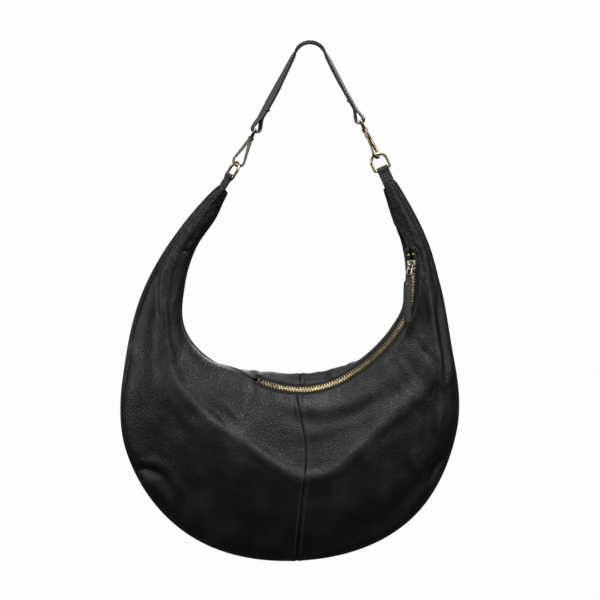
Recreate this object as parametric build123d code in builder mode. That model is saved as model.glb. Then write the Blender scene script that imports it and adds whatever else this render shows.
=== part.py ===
"""Crescent hobo bag with a zipped mouth, hung by a shoulder strap with two swivel clasps.

Frame: millimetres, +X to the wearer's right as seen from the front, +Y from front to back,
+Z up.  The origin is the axis of the round saddle that the strap makes over its peg.
"""
import math
import os

from build123d import *

# ---------------------------------------------------------------- driving dimensions
STRAP_WIDTH = 16.0
LEATHER = 1.5                       # thickness of one leather layer
SADDLE_RADIUS = 16.0                # inside of the strap where it goes over the peg
TAIL_LENGTH = 27.0                  # strap end folded back and sewn to itself
TAIL_CLOSING = 2.8                  # degrees by which the tail leans in to meet the run

WIRE_RING = 1.5                     # radius of the D-ring wire
WIRE_EYE = 1.4                      # radius of the eye wire
RUNNING = 0.07                      # radial running clearance of pins and posts
LOOSE = 0.3                         # gap between parts that pass each other freely

SIDES = ("left", "right")
SIGN = {"left": -1, "right": 1}
STRAP_LEAN = {"left": 28.0, "right": 28.5}      # run of strap from the vertical
STRAP_RUN = {"left": 98.2, "right": 87.5}       # saddle tangent point to the eye
LINK_LEAN = {"left": 28.0, "right": 25.0}       # clasp from the vertical
HOOK_TURN = {"left": 0.0, "right": 65.0}        # hook's face from the front, about its post
RING_LEAN = {"left": 32.0, "right": 24.0}
RING_TURN = {"left": 60.0, "right": 0.0}        # ring's face from the front
TAB_LEAN = {"left": 33.0, "right": 24.0}

# clasp stations, measured down the clasp from the centre of the eye's bar
EYE_HALF_WIDTH = 10.2
EYE_SHOULDER = 4.0                  # straight part of the eye's sides beside the strap
EYE_CORNER = 1.5
EYE_NECK = 4.0                      # half width where the sides meet the barrel
BARREL_TOP = 9.0
BARREL_BOTTOM = 13.2
BARREL_RADIUS = 3.2
BARREL_LAP = 0.6                    # barrel's top above the middle of the eye's wire
POST_RADIUS = 1.6
HEAD_TOP = 13.6
HEAD_BOTTOM = 20.5
HEAD_HALF_WIDTH = 4.2
BOW_CENTRE = 38.3
BOW_OUTER = 7.3
BOW_INNER = 4.6
HOOK_THICKNESS = 3.2
EDGE_BREAK = 0.45
CHEEK = 0.7                         # head wall each side of the gate
GATE_PIVOT = (-2.6, -18.0)
GATE_PIN_RADIUS = 0.8
SPRING_RADIUS = 1.3
SPRING_LENGTH = 0.8
GATE_END = 36.4
GATE_SWING = 18.0                   # degrees that the gate opens into the hook
RING_STATION = 40.2                 # ring's top wire, inside the bow

RING_RADIUS = 9.0
RING_HEIGHT = 17.7                  # centre line of the top wire to that of the bar
RING_CORNER = 2.0
TAB_WIDTH = 13.0
TAB_DROP = 22.0                     # D-ring bar to the end of the tab inside the horn

# mouth arc: the zip runs on a circle about an axis parallel to Y
ARC_X = -11.0
ARC_Z = -239.25
ZIP_RADIUS = 124.0
ZIP_Y = -13.0
ZIP_TILT = 37.5                     # zip's face, upward from straight to the front
ZIP_START = -22.3                   # bottom stop, degrees round the arc from straight down
SLIDER_AT = 95.5
SLIDER_TRAVEL = 113.0
MOUTH_END = 102.0                   # end of the open mouth, beyond the closed slider
CHAIN_WIDTH = 7.0
TOOTH_PITCH = 3.0
TOOTH_LENGTH = 4.6
TOOTH_WIDTH = 1.4
TOOTH_HEIGHT = 2.0
TAPE_WIDTH = 12.6                   # both tapes, lip to lip
TAPE_EDGE = 2.4                     # tape's edge inside the teeth's clamps, from the middle
TAPE_THICKNESS = 0.7
PLATE = 1.2                         # slider plates
PLATE_GAP = 0.35                    # from the teeth to each plate
SLIDER_HALF_LENGTH = 5.0
SLIDER_HALF_WIDTH = 4.9             # at the closed end
SLIDER_MOUTH = 5.6                  # half width at the end where the rows part
SLIDER_CORNER = 1.2
CHAIN_CHANNEL = 8.2
TAPE_CHANNEL = 1.3
WEDGE_AT = 3.2
WEDGE_SIZE = (2.6, 2.4)
BRIDGE_WALL = 1.2
BRIDGE_SINK = 0.3                   # bridge's feet into the top plate
BRIDGE_HALF_LENGTH = 4.2
BRIDGE_HEIGHT = 3.9
LINK_RISE = 3.9                     # link's pivot above the middle of the chain
LINK_LIFT = 30.0                    # link held off the zip
LINK_LENGTH = 13.0
LINK_HALF_WIDTH = 3.0
LINK_WIRE = 0.8
PULL_LIFT = 12.0
PULL_NECK = 2.0
PULL_FORK = 3.1                     # from the link to where the two plies meet
PULL_SHOULDER = 8.0
PULL_CORNER = 2.5
PULL_WIDTH = 11.0
PULL_LENGTH = 52.0
RIVET_DROP = 9.0
RIVET_SHANK = 1.0
RIVET_CAP = 2.2
MOUTH_WIDTH = 13.0                  # gap between the leather lips over the zip
MOUTH_DEPTH = 16.0

# bag outline: stations round the arc, degrees, inner radius, outer radius
BODY_STATIONS = (
    (-139, 120, 134),
    (-125, 112, 136),
    (-105, 118, 147),
    (-85, 127, 172),
    (-65, 139, 211),
    (-45, 133, 271),
    (-25, 116, 308),
    (0, 107, 313),
    (25, 110, 293),
    (45, 115.5, 243),
    (65, 118, 184),
    (85, 119, 156),
    (105, 117, 146),
    (125, 121, 145),
    (136, 131, 149),
)
# half depth seen from the side against Z, and seen from above against X
SIDE_STATIONS = (
    (-560, 6), (-548, 22), (-515, 37), (-450, 46), (-370, 38), (-300, 24), (-220, 15), (-120, 8.5),
)
TOP_STATIONS = ((-214, 6), (-200, 20), (-165, 34), (-20, 47), (125, 34), (157, 20), (170, 6))
BELLY_REACH = 60.0
FRONT_VIEW = Plane((0, 0, 0), x_dir=(1, 0, 0), z_dir=(0, -1, 0))
SIDE_VIEW = Plane((0, 0, 0), x_dir=(0, 0, 1), z_dir=(-1, 0, 0))
TOP_VIEW = Plane((0, 0, 0), x_dir=(1, 0, 0), z_dir=(0, 0, 1))
LINING_GAP = 0.6
LINING_THICKNESS = 0.8
LINING_TOP = -176.0

os.makedirs("parts", exist_ok=True)
ARC_CENTRE = Vector(ARC_X, 0, ARC_Z)
ARC_AXIS = Axis(ARC_CENTRE, (0, -1, 0))
FRONT = Vector(0, -1, 0)


def save(part, name):
    """Label one finished piece and write its STEP file."""
    part.label = name
    export_step(part, f"parts/{name}.step")


# ---------------------------------------------------------------- directions and planes
def down(side, lean):
    """Unit vector down a line that leans outward by lean degrees on one side."""
    angle = math.radians(lean)
    return Vector(SIGN[side] * math.sin(angle), 0, -math.cos(angle))


def outward(side, lean):
    """Unit vector square to down(), away from the middle of the bag and up."""
    angle = math.radians(lean)
    return Vector(SIGN[side] * math.cos(angle), 0, math.sin(angle))


def leaning_plane(origin, side, lean, turn):
    """Plane whose local -Y runs down the lean and whose face is turned from the front."""
    up = down(side, lean) * -1
    face = FRONT.rotate(Axis((0, 0, 0), up), SIGN[side] * turn)
    return Plane(origin=origin, x_dir=up.cross(face), z_dir=face)


def arc_plane(angle):
    """Section plane of the bag: local X is radial from the mouth arc, local Y is world Y."""
    turn = math.radians(angle)
    return Plane(
        origin=ARC_CENTRE,
        x_dir=(math.sin(turn), 0, -math.cos(turn)),
        z_dir=(math.cos(turn), 0, math.sin(turn)),
    )


def zip_plane(angle):
    """Plane on the zip: local X runs along it, local Y to the back lip, local Z out of it."""
    section = arc_plane(angle)
    tilt = math.radians(ZIP_TILT)
    radial = section.x_dir
    face = radial * -math.sin(tilt) + FRONT * math.cos(tilt)
    origin = ARC_CENTRE + radial * ZIP_RADIUS + Vector(0, ZIP_Y, 0)
    return Plane(origin=origin, x_dir=section.z_dir, z_dir=face)


EYE = {
    side: outward(side, STRAP_LEAN[side]) * SADDLE_RADIUS
    + down(side, STRAP_LEAN[side]) * STRAP_RUN[side]
    for side in SIDES
}
RING_TOP = {side: EYE[side] + down(side, LINK_LEAN[side]) * RING_STATION for side in SIDES}
RING_BAR = {side: RING_TOP[side] + down(side, RING_LEAN[side]) * RING_HEIGHT for side in SIDES}


# ---------------------------------------------------------------- strap
def strap_layer(name, offset, with_tails):
    """One leather layer of the strap, swept over the saddle at an offset from its inside."""
    run_radius = SADDLE_RADIUS + offset
    crown = Vector(0, 0, run_radius)
    loop_radius = offset
    ends = {}
    tangents = {}
    for side in SIDES:
        tangents[side] = outward(side, STRAP_LEAN[side]) * run_radius
        stop = STRAP_RUN[side] - (0 if with_tails else TAIL_LENGTH + LEATHER)
        ends[side] = tangents[side] + down(side, STRAP_LEAN[side]) * stop
    with BuildPart() as layer:
        with BuildLine() as path:
            if with_tails:
                tail_path("left", ends["left"], loop_radius)
            Line(ends["left"], tangents["left"])
            ThreePointArc(tangents["left"], crown, tangents["right"])
            Line(tangents["right"], ends["right"])
            if with_tails:
                tail_path("right", ends["right"], loop_radius)
        start = path.wires()[0]
        with BuildSketch(Plane(origin=start @ 0, x_dir=(0, 1, 0), z_dir=start % 0)):
            Rectangle(STRAP_WIDTH, LEATHER)
        sweep(path=start)
    save(layer.part, name)


def tail_path(side, run_end, loop_radius):
    """Fold of the strap round the eye's bar and its tail up the inside of the run."""
    lean = STRAP_LEAN[side]
    centre = run_end - outward(side, lean) * loop_radius
    bottom = centre + down(side, lean) * loop_radius
    closing = math.radians(TAIL_CLOSING)
    swing = outward(side, lean) * math.sin(closing) - down(side, lean) * math.cos(closing)
    start = centre - outward(side, lean) * loop_radius * math.cos(closing)
    start = start - down(side, lean) * loop_radius * math.sin(closing)
    ThreePointArc(run_end, bottom, start)
    Line(start, start + swing * TAIL_LENGTH)


strap_layer("strap_outer", LEATHER * 1.5, with_tails=True)
strap_layer("strap_backing", LEATHER * 0.5, with_tails=False)


# ---------------------------------------------------------------- swivel clasps
def swivel_eye(side):
    """Triangular wire eye and the barrel that the hook's post turns in."""
    plane = leaning_plane(EYE[side], side, LINK_LEAN[side], 90)
    with BuildPart() as eye:
        with BuildLine(plane) as path:
            FilletPolyline(
                (EYE_HALF_WIDTH, 0),
                (EYE_HALF_WIDTH, -EYE_SHOULDER),
                (EYE_NECK, -BARREL_TOP),
                (-EYE_NECK, -BARREL_TOP),
                (-EYE_HALF_WIDTH, -EYE_SHOULDER),
                (-EYE_HALF_WIDTH, 0),
                radius=EYE_CORNER,
                close=True,
            )
        start = path.wires()[0]
        with BuildSketch(Plane(origin=start @ 0, z_dir=start % 0)):
            Circle(WIRE_EYE)
        sweep(path=start)
        with BuildSketch(barrel_plane(side, BARREL_TOP - BARREL_LAP)):
            Circle(BARREL_RADIUS)
        extrude(amount=BARREL_BOTTOM - BARREL_TOP + BARREL_LAP)
        chamfer(eye.edges().filter_by(GeomType.CIRCLE).sort_by(link_axis(side))[-1], 0.5)
        with BuildSketch(barrel_plane(side, BARREL_TOP - 2 * WIRE_EYE)):
            Circle(POST_RADIUS + RUNNING)
        extrude(amount=BARREL_BOTTOM, mode=Mode.SUBTRACT)
    save(eye.part, f"{side}_swivel_eye")


def link_axis(side):
    """Axis down one clasp from the centre of its eye."""
    return Axis(EYE[side], down(side, LINK_LEAN[side]))


def barrel_plane(side, station):
    """Plane square to one clasp at a station down it, facing down the clasp."""
    direction = down(side, LINK_LEAN[side])
    return Plane(origin=EYE[side] + direction * station, x_dir=(0, 1, 0), z_dir=direction)


def swivel_post(side):
    """Post through the barrel, headed over inside the eye."""
    head_height = 1.2
    head_at = BARREL_TOP - WIRE_EYE - LOOSE / 2 - head_height
    with BuildPart() as post:
        with BuildSketch(barrel_plane(side, head_at)):
            Circle(POST_RADIUS + 0.7)
        extrude(amount=head_height)
        fillet(post.edges().filter_by(GeomType.CIRCLE).sort_by(link_axis(side))[0], 0.5)
        with BuildSketch(barrel_plane(side, head_at + head_height)):
            Circle(POST_RADIUS)
        extrude(amount=HEAD_TOP - head_at - head_height)
    save(post.part, f"{side}_swivel_post")


def hook_plane(side):
    """Face plane of one hook, its origin at the eye and its local -Y down the clasp."""
    return leaning_plane(EYE[side], side, LINK_LEAN[side], HOOK_TURN[side])


with BuildSketch() as hook_outline:
    flank = (BOW_OUTER * 0.97, -BOW_CENTRE + BOW_OUTER * 0.24)
    with BuildLine():
        Polyline(
            (-flank[0], flank[1]),
            (-HEAD_HALF_WIDTH, -HEAD_BOTTOM),
            (-HEAD_HALF_WIDTH + 1, -HEAD_TOP),
            (HEAD_HALF_WIDTH - 1, -HEAD_TOP),
            (HEAD_HALF_WIDTH, -HEAD_BOTTOM),
            flank,
        )
        ThreePointArc(flank, (0, -BOW_CENTRE - BOW_OUTER), (-flank[0], flank[1]))
    make_face()

with BuildSketch() as hook_window:
    flank = (BOW_INNER * 0.97, -BOW_CENTRE + BOW_INNER * 0.24)
    apex = -HEAD_BOTTOM - 2.2
    with BuildLine():
        Polyline((-flank[0], flank[1]), (-0.8, apex), (0.8, apex), flank)
        ThreePointArc(flank, (0, -BOW_CENTRE - BOW_INNER), (-flank[0], flank[1]))
    make_face()

# strip of the hook's outer leg that the gate takes, and the same grown by a clearance
with BuildSketch() as gate_strip:
    with BuildLine():
        Polyline(
            (-9.5, GATE_PIVOT[1] + 1.6),
            (-0.9, GATE_PIVOT[1] + 1.6),
            (-0.9, -HEAD_BOTTOM - 1.2),
            (-2.2, -GATE_END),
            (-9.5, -GATE_END),
            close=True,
        )
    make_face()
with BuildSketch() as gate_slot:
    add(gate_strip.sketch)
    offset(amount=LOOSE, kind=Kind.INTERSECTION)
with BuildSketch() as gate_outline:
    add(hook_outline.sketch)
    add(hook_window.sketch, mode=Mode.SUBTRACT)
    add(gate_strip.sketch, mode=Mode.INTERSECT)
GATE_AXIS = Axis((*GATE_PIVOT, 0), (0, 0, 1))
SWUNG_GATES = [
    offset(gate_outline.sketch.rotate(GATE_AXIS, share * GATE_SWING), LOOSE, mode=Mode.PRIVATE)
    for share in (0.25, 0.5, 0.75, 1)
]

# cheeks of the head that hold the ends of the gate pin
with BuildSketch() as head_cheeks:
    add(hook_outline.sketch)
    with Locations((-2.5, GATE_PIVOT[1])):
        Rectangle(3.8, 4.2, mode=Mode.INTERSECT)


def hook_frame(side):
    """Flat cast hook: head, body leg, bow and nose, with a slot for the gate."""
    plane = hook_plane(side)
    half = HOOK_THICKNESS / 2
    with BuildPart() as hook:
        with BuildSketch(plane):
            add(hook_outline.sketch)
            add(hook_window.sketch, mode=Mode.SUBTRACT)
        extrude(amount=half, both=True)
        rim = hook.faces().sort_by(Axis(plane.origin, plane.z_dir))
        chamfer(rim[0].edges() + rim[-1].edges(), EDGE_BREAK)
        with BuildSketch(plane):
            add(gate_slot.sketch)
            add(SWUNG_GATES)
        extrude(amount=half + 1, both=True, mode=Mode.SUBTRACT)
        for face in (1, -1):
            with BuildSketch(plane.offset(face * (half - CHEEK))):
                add(head_cheeks.sketch)
            extrude(amount=face * CHEEK)
        with Locations(plane * Location((*GATE_PIVOT, 0))):
            Cylinder(GATE_PIN_RADIUS, HOOK_THICKNESS + 1, mode=Mode.SUBTRACT)
    save(hook.part, f"{side}_hook_frame")


def gate(side):
    """Push gate on its pin, between the head's cheeks and the nose."""
    plane = hook_plane(side)
    with BuildPart() as leaf:
        with BuildSketch(plane):
            add(gate_outline.sketch)
        extrude(amount=HOOK_THICKNESS / 2 - CHEEK - LOOSE / 2, both=True)
        with Locations(plane * Location((*GATE_PIVOT, 0))):
            Cylinder(GATE_PIN_RADIUS + RUNNING, HOOK_THICKNESS + 1, mode=Mode.SUBTRACT)
            Cylinder(SPRING_RADIUS + RUNNING, SPRING_LENGTH + 0.1, mode=Mode.SUBTRACT)
    save(leaf.part, f"{side}_gate")


def gate_spring(side):
    """Torsion spring on the gate pin, as the sleeve that its turns fill."""
    with BuildPart() as spring:
        with Locations(hook_plane(side) * Location((*GATE_PIVOT, 0))):
            Cylinder(SPRING_RADIUS, SPRING_LENGTH)
            Cylinder(GATE_PIN_RADIUS + RUNNING, SPRING_LENGTH, mode=Mode.SUBTRACT)
    save(spring.part, f"{side}_gate_spring")


def gate_pin(side):
    """Pin through the head that the gate turns on."""
    with BuildPart() as pin:
        with Locations(hook_plane(side) * Location((*GATE_PIVOT, 0))):
            Cylinder(GATE_PIN_RADIUS, HOOK_THICKNESS + 0.3)
    save(pin.part, f"{side}_gate_pin")


def dee_ring(side):
    """D-ring: round top inside the hook's bow, straight bar in the leather tab."""
    plane = leaning_plane(RING_TOP[side], side, RING_LEAN[side], RING_TURN[side])
    with BuildPart() as ring:
        with BuildLine(plane) as path:
            ThreePointArc((-RING_RADIUS, -RING_RADIUS), (0, 0), (RING_RADIUS, -RING_RADIUS))
            FilletPolyline(
                (RING_RADIUS, -RING_RADIUS),
                (RING_RADIUS, -RING_HEIGHT),
                (-RING_RADIUS, -RING_HEIGHT),
                (-RING_RADIUS, -RING_RADIUS),
                radius=RING_CORNER,
            )
        start = path.wires()[0]
        with BuildSketch(Plane(origin=start @ 0, z_dir=start % 0)):
            Circle(WIRE_RING)
        sweep(path=start)
    save(ring.part, f"{side}_dee_ring")


def tab_plane(side):
    """Plane square to the ring's bar, its local Y up the tab."""
    ring = leaning_plane(RING_BAR[side], side, RING_LEAN[side], RING_TURN[side])
    up = down(side, TAB_LEAN[side]) * -1
    bar = (ring.x_dir - up * ring.x_dir.dot(up)).normalized()
    return Plane(origin=RING_BAR[side], x_dir=up.cross(bar) * -1, z_dir=bar * -1)


def ring_tab(side):
    """Leather tab folded over the ring's bar, with both ends down inside the horn."""
    plane = tab_plane(side)
    hold = WIRE_RING + 0.12
    with BuildPart() as tab:
        with BuildSketch(plane):
            Circle(hold + LEATHER)
            with Locations((0, -TAB_DROP / 2)):
                Rectangle(2 * LEATHER + 0.2, TAB_DROP)
            Circle(hold, mode=Mode.SUBTRACT)
        extrude(amount=TAB_WIDTH / 2, both=True)
    save(tab.part, f"{side}_ring_tab")


for SIDE in SIDES:
    swivel_eye(SIDE)
    swivel_post(SIDE)
    hook_frame(SIDE)
    gate(SIDE)
    gate_pin(SIDE)
    gate_spring(SIDE)
    dee_ring(SIDE)
    ring_tab(SIDE)


# ---------------------------------------------------------------- bag body
def polar(angle, radius):
    """Point in the front plane's X and Z at an angle and radius round the mouth's arc."""
    turn = math.radians(angle)
    return (ARC_X + radius * math.sin(turn), ARC_Z - radius * math.cos(turn))


def lens(plane, stations, inset, reach):
    """Solid of a symmetric depth profile, swept square to its plane."""
    with BuildPart() as solid:
        with BuildSketch(plane):
            with BuildLine():
                near = [(at, -depth + inset) for at, depth in stations]
                far = [(at, depth - inset) for at, depth in stations]
                Spline(*near)
                Spline(*far)
                Line(near[0], far[0])
                Line(near[-1], far[-1])
            make_face()
        extrude(amount=reach, both=True)
    return solid.part


def crescent(inset):
    """Crescent seen from the front, run right through from front to back."""
    inner = [polar(angle, low + inset) for angle, low, _ in BODY_STATIONS]
    outer = [polar(angle, high - inset) for angle, _, high in BODY_STATIONS]
    with BuildPart() as solid:
        with BuildSketch(FRONT_VIEW):
            with BuildLine():
                Spline(*inner)
                Spline(*outer)
                Line(inner[0], outer[0])
                Line(inner[-1], outer[-1])
            make_face()
        extrude(amount=BELLY_REACH, both=True)
    return solid.part


def lip_wedge(side_of_zip, inset):
    """Region cut off so that the front or the back rises in a cone to the mouth."""
    tilt = math.radians(ZIP_TILT)
    radius = ZIP_RADIUS + inset * math.sin(tilt)
    depth = ZIP_Y + inset * math.cos(tilt)
    low = (radius - 60 * math.cos(tilt), depth + 60 * math.sin(tilt))
    high = (radius + 90 * math.cos(tilt), depth - 90 * math.sin(tilt))
    points = [low, high, (low[0], high[1])]
    with BuildPart() as wedge:
        with BuildSketch(arc_plane(0)):
            with BuildLine():
                Polyline(*[(r, y * side_of_zip) for r, y in points], close=True)
            make_face()
        revolve(axis=ARC_AXIS)
    return wedge.part


def body_solid(inset):
    """Whole bag as one closed solid, its skin inset from the outside of the leather."""
    with BuildPart() as body:
        add(crescent(inset))
        add(lens(SIDE_VIEW, SIDE_STATIONS, inset, 260), mode=Mode.INTERSECT)
        add(lens(TOP_VIEW, TOP_STATIONS, inset, 600), mode=Mode.INTERSECT)
        add(lip_wedge(1, inset), mode=Mode.SUBTRACT)
        add(lip_wedge(-1, inset), mode=Mode.SUBTRACT)
    return body.part


def front_region():
    """Everything in front of the zip's line and of the bottom seam."""
    tilt = math.radians(ZIP_TILT)
    reach = 60.0
    outside = (ZIP_RADIUS - reach * math.sin(tilt), ZIP_Y - reach * math.cos(tilt))
    seam = (ZIP_RADIUS - ZIP_Y * math.tan(tilt), 0)
    with BuildPart() as region:
        with BuildSketch(arc_plane(0)):
            with BuildLine():
                Polyline(outside, seam, (420, 0), (420, -120), (outside[0], -120), close=True)
            make_face()
        revolve(axis=ARC_AXIS)
    return region.part


def mouth_cutter(width):
    """Slot through the wall all along the zip, between its two ends."""
    with BuildPart() as cutter:
        with BuildSketch(arc_plane(ZIP_START)):
            with Locations(Location((ZIP_RADIUS, ZIP_Y, 0), (0, 0, -ZIP_TILT))):
                Rectangle(width, MOUTH_DEPTH)
        revolve(axis=ARC_AXIS, revolution_arc=MOUTH_END - ZIP_START)
    return cutter.part


def shell(inset, thickness, front, mouth):
    """Front and back halves of one layer of the bag, open at the mouth."""
    outer = body_solid(inset)
    inner = body_solid(inset + thickness)
    halves = {}
    for name, mode in (("front", Mode.INTERSECT), ("back", Mode.SUBTRACT)):
        with BuildPart() as half:
            add(outer)
            add(inner, mode=Mode.SUBTRACT)
            add(front, mode=mode)
            add(mouth, mode=Mode.SUBTRACT)
        halves[name] = half.part
    return halves


def panels(halves):
    """Cut the leather's front and back at the centre seam and save the four panels."""
    for name, half in halves.items():
        for side in SIDES:
            keep = Keep.TOP if side == "right" else Keep.BOTTOM
            with BuildPart() as panel:
                add(half)
                split(bisect_by=Plane((ARC_X, 0, 0), z_dir=(1, 0, 0)), keep=keep)
            save(panel.part, f"{name}_panel_{side}")


def linings(halves):
    """Front and back of the fabric lining, which stops short of the horns' tips."""
    for name, half in halves.items():
        with BuildPart() as lining:
            add(half)
            split(bisect_by=Plane((0, 0, LINING_TOP), z_dir=(0, 0, 1)), keep=Keep.BOTTOM)
        save(lining.part, f"lining_{name}")


FRONT_REGION = front_region()
panels(shell(0, LEATHER, FRONT_REGION, mouth_cutter(MOUTH_WIDTH)))
linings(shell(LEATHER + LINING_GAP, LINING_THICKNESS, FRONT_REGION, mouth_cutter(MOUTH_WIDTH)))


# ---------------------------------------------------------------- zip
def zip_tape(name, way):
    """Tape from the teeth's clamps out to the leather lip, along the zip's arc."""
    tilt = math.radians(ZIP_TILT)
    width = TAPE_WIDTH / 2 - TAPE_EDGE
    across = way * (TAPE_EDGE + width / 2)
    radius = ZIP_RADIUS - across * math.cos(tilt)
    depth = ZIP_Y + across * math.sin(tilt)
    with BuildPart() as tape:
        with BuildSketch(arc_plane(ZIP_START)):
            with Locations(Location((radius, depth, 0), (0, 0, -ZIP_TILT))):
                Rectangle(width, TAPE_THICKNESS)
        revolve(axis=ARC_AXIS, revolution_arc=MOUTH_END - ZIP_START)
    save(tape.part, name)


def zip_teeth(name, across, first):
    """Row of separate teeth clamped along one tape's edge."""
    pitch = math.degrees(TOOTH_PITCH / ZIP_RADIUS)
    count = int((SLIDER_AT - first) / pitch)
    places = [zip_plane(first + i * pitch) * Location((0, across, 0)) for i in range(count)]
    with BuildPart() as teeth:
        with Locations(*places):
            Box(TOOTH_WIDTH, TOOTH_LENGTH, TOOTH_HEIGHT)
    save(teeth.part, name)


def zip_stops():
    """Two stops beyond the closed slider, and the block that joins both tapes at the start."""
    plane = zip_plane(MOUTH_END - 1.2)
    with BuildPart() as top:
        with Locations(*[plane * Location((0, y, 0)) for y in (-3.2, 3.2)]):
            Box(2.0, 2.4, TOOTH_HEIGHT)
    save(top.part, "zip_top_stops")
    with BuildPart() as bottom:
        with Locations(zip_plane(ZIP_START + 0.8).location):
            Box(2.0, CHAIN_WIDTH, TOOTH_HEIGHT)
    save(bottom.part, "zip_bottom_stop")


def zip_slider():
    """Slider: two plates with side flanges, the wedge between them, and the bridge on top."""
    plane = zip_plane(SLIDER_AT)
    half_gap = TOOTH_HEIGHT / 2 + PLATE_GAP
    top = half_gap + PLATE
    long, narrow, wide = SLIDER_HALF_LENGTH, SLIDER_HALF_WIDTH, SLIDER_MOUTH
    side_on = Plane(origin=plane.origin, x_dir=plane.x_dir, z_dir=plane.y_dir * -1)
    with BuildPart() as slider:
        with BuildSketch(plane.offset(-top)) as outline:
            with BuildLine():
                Polyline(
                    (-long, -narrow), (1, -narrow), (long, -wide),
                    (long, wide), (1, narrow), (-long, narrow), close=True,
                )
            make_face()
            fillet(outline.vertices(), SLIDER_CORNER)
        extrude(amount=2 * top)
        with BuildSketch(plane.offset(-half_gap)):
            Rectangle(3 * long, CHAIN_CHANNEL)
        extrude(amount=2 * half_gap, mode=Mode.SUBTRACT)
        with BuildSketch(plane.offset(-TAPE_CHANNEL / 2)):
            Rectangle(3 * long, 3 * wide)
        extrude(amount=TAPE_CHANNEL, mode=Mode.SUBTRACT)
        with BuildSketch(plane.offset(-half_gap)):
            with Locations((WEDGE_AT, 0)):
                Rectangle(*WEDGE_SIZE)
        extrude(amount=2 * half_gap)
        with BuildSketch(side_on):
            with Locations((0, top - BRIDGE_SINK)):
                Ellipse(BRIDGE_HALF_LENGTH, BRIDGE_HEIGHT + BRIDGE_SINK)
                Ellipse(
                    BRIDGE_HALF_LENGTH - BRIDGE_WALL,
                    BRIDGE_HEIGHT + BRIDGE_SINK - BRIDGE_WALL,
                    mode=Mode.SUBTRACT,
                )
            with Locations((0, top - BRIDGE_SINK - 2 * long)):
                Rectangle(3 * long, 4 * long, mode=Mode.SUBTRACT)
        extrude(amount=BRIDGE_WALL, both=True)
    save(slider.part, "zip_slider")


def hanging_plane(origin, lift):
    """Plane of the pull: local X across it, local Y up it, its face tilted out by lift."""
    flat = zip_plane(SLIDER_AT)
    turn = math.radians(lift)
    up = flat.x_dir * math.cos(turn) - flat.z_dir * math.sin(turn)
    face = flat.x_dir * math.sin(turn) + flat.z_dir * math.cos(turn)
    return Plane(origin=origin, x_dir=up.cross(face), z_dir=face)


def pull_link():
    """Closed wire link through the slider's bridge."""
    plane = hanging_plane(LINK_PIVOT, LINK_LIFT)
    half = LINK_HALF_WIDTH
    with BuildPart() as link:
        with BuildLine(plane) as path:
            FilletPolyline(
                (half, 0), (half, -LINK_LENGTH), (-half, -LINK_LENGTH), (-half, 0),
                radius=1.2, close=True,
            )
        start = path.wires()[0]
        with BuildSketch(Plane(origin=start @ 0, z_dir=start % 0)):
            Circle(LINK_WIRE)
        sweep(path=start)
    save(link.part, "pull_link")


def pull_tab():
    """Leather puller: a neck folded round the link, widening to a long two-ply strip."""
    plane = hanging_plane(PULL_PIVOT, PULL_LIFT)
    hold = LINK_WIRE + 0.12
    half = PULL_WIDTH / 2
    across = Plane(origin=plane.origin, x_dir=plane.z_dir * -1, z_dir=plane.x_dir)
    with BuildPart() as tab:
        with BuildSketch(across):
            Circle(hold + LEATHER * 0.8)
            with Locations((0, -PULL_FORK)):
                Rectangle(2 * LEATHER, 2 * PULL_FORK)
            Circle(hold, mode=Mode.SUBTRACT)
        extrude(amount=PULL_NECK, both=True)
        with BuildSketch(plane.offset(-LEATHER)) as outline:
            with BuildLine():
                Polyline(
                    (-PULL_NECK, -PULL_FORK), (PULL_NECK, -PULL_FORK), (half, -PULL_SHOULDER),
                    (half, -PULL_LENGTH), (-half, -PULL_LENGTH), (-half, -PULL_SHOULDER), close=True,
                )
            make_face()
            fillet(outline.vertices().sort_by(Axis.Y)[:2], PULL_CORNER)
        extrude(amount=2 * LEATHER)
        with Locations(plane * Location((0, -RIVET_DROP, 0))):
            Cylinder(RIVET_SHANK, 3 * LEATHER, mode=Mode.SUBTRACT)
    save(tab.part, "pull_tab")


def pull_rivet():
    """Rivet with a domed cap on each face of the puller."""
    plane = hanging_plane(PULL_PIVOT, PULL_LIFT) * Location((0, -RIVET_DROP, 0))
    with BuildPart() as rivet:
        with Locations(plane):
            Cylinder(RIVET_SHANK, 2 * LEATHER)
        for face in (1, -1):
            with BuildSketch(Plane(plane).offset(face * LEATHER)):
                Circle(RIVET_CAP)
            extrude(amount=face * 0.7, taper=25)
    save(rivet.part, "pull_rivet")


SLIDER_PLANE = zip_plane(SLIDER_AT)
LINK_PIVOT = SLIDER_PLANE.origin + SLIDER_PLANE.z_dir * LINK_RISE
LINK_PLANE = hanging_plane(LINK_PIVOT, LINK_LIFT)
PULL_PIVOT = LINK_PIVOT - LINK_PLANE.y_dir * LINK_LENGTH

HALF_PITCH = math.degrees(TOOTH_PITCH / ZIP_RADIUS) / 2
TEETH_FROM = ZIP_START + 2.4
TOOTH_OFFSET = (CHAIN_WIDTH - TOOTH_LENGTH) / 2
for ROW, WAY in (("front", -1), ("back", 1)):
    zip_tape(f"zip_tape_{ROW}", WAY)
    zip_teeth(f"zip_teeth_{ROW}", WAY * TOOTH_OFFSET, TEETH_FROM + (HALF_PITCH if WAY > 0 else 0))
zip_stops()
zip_slider()
pull_link()
pull_tab()
pull_rivet()


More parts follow.
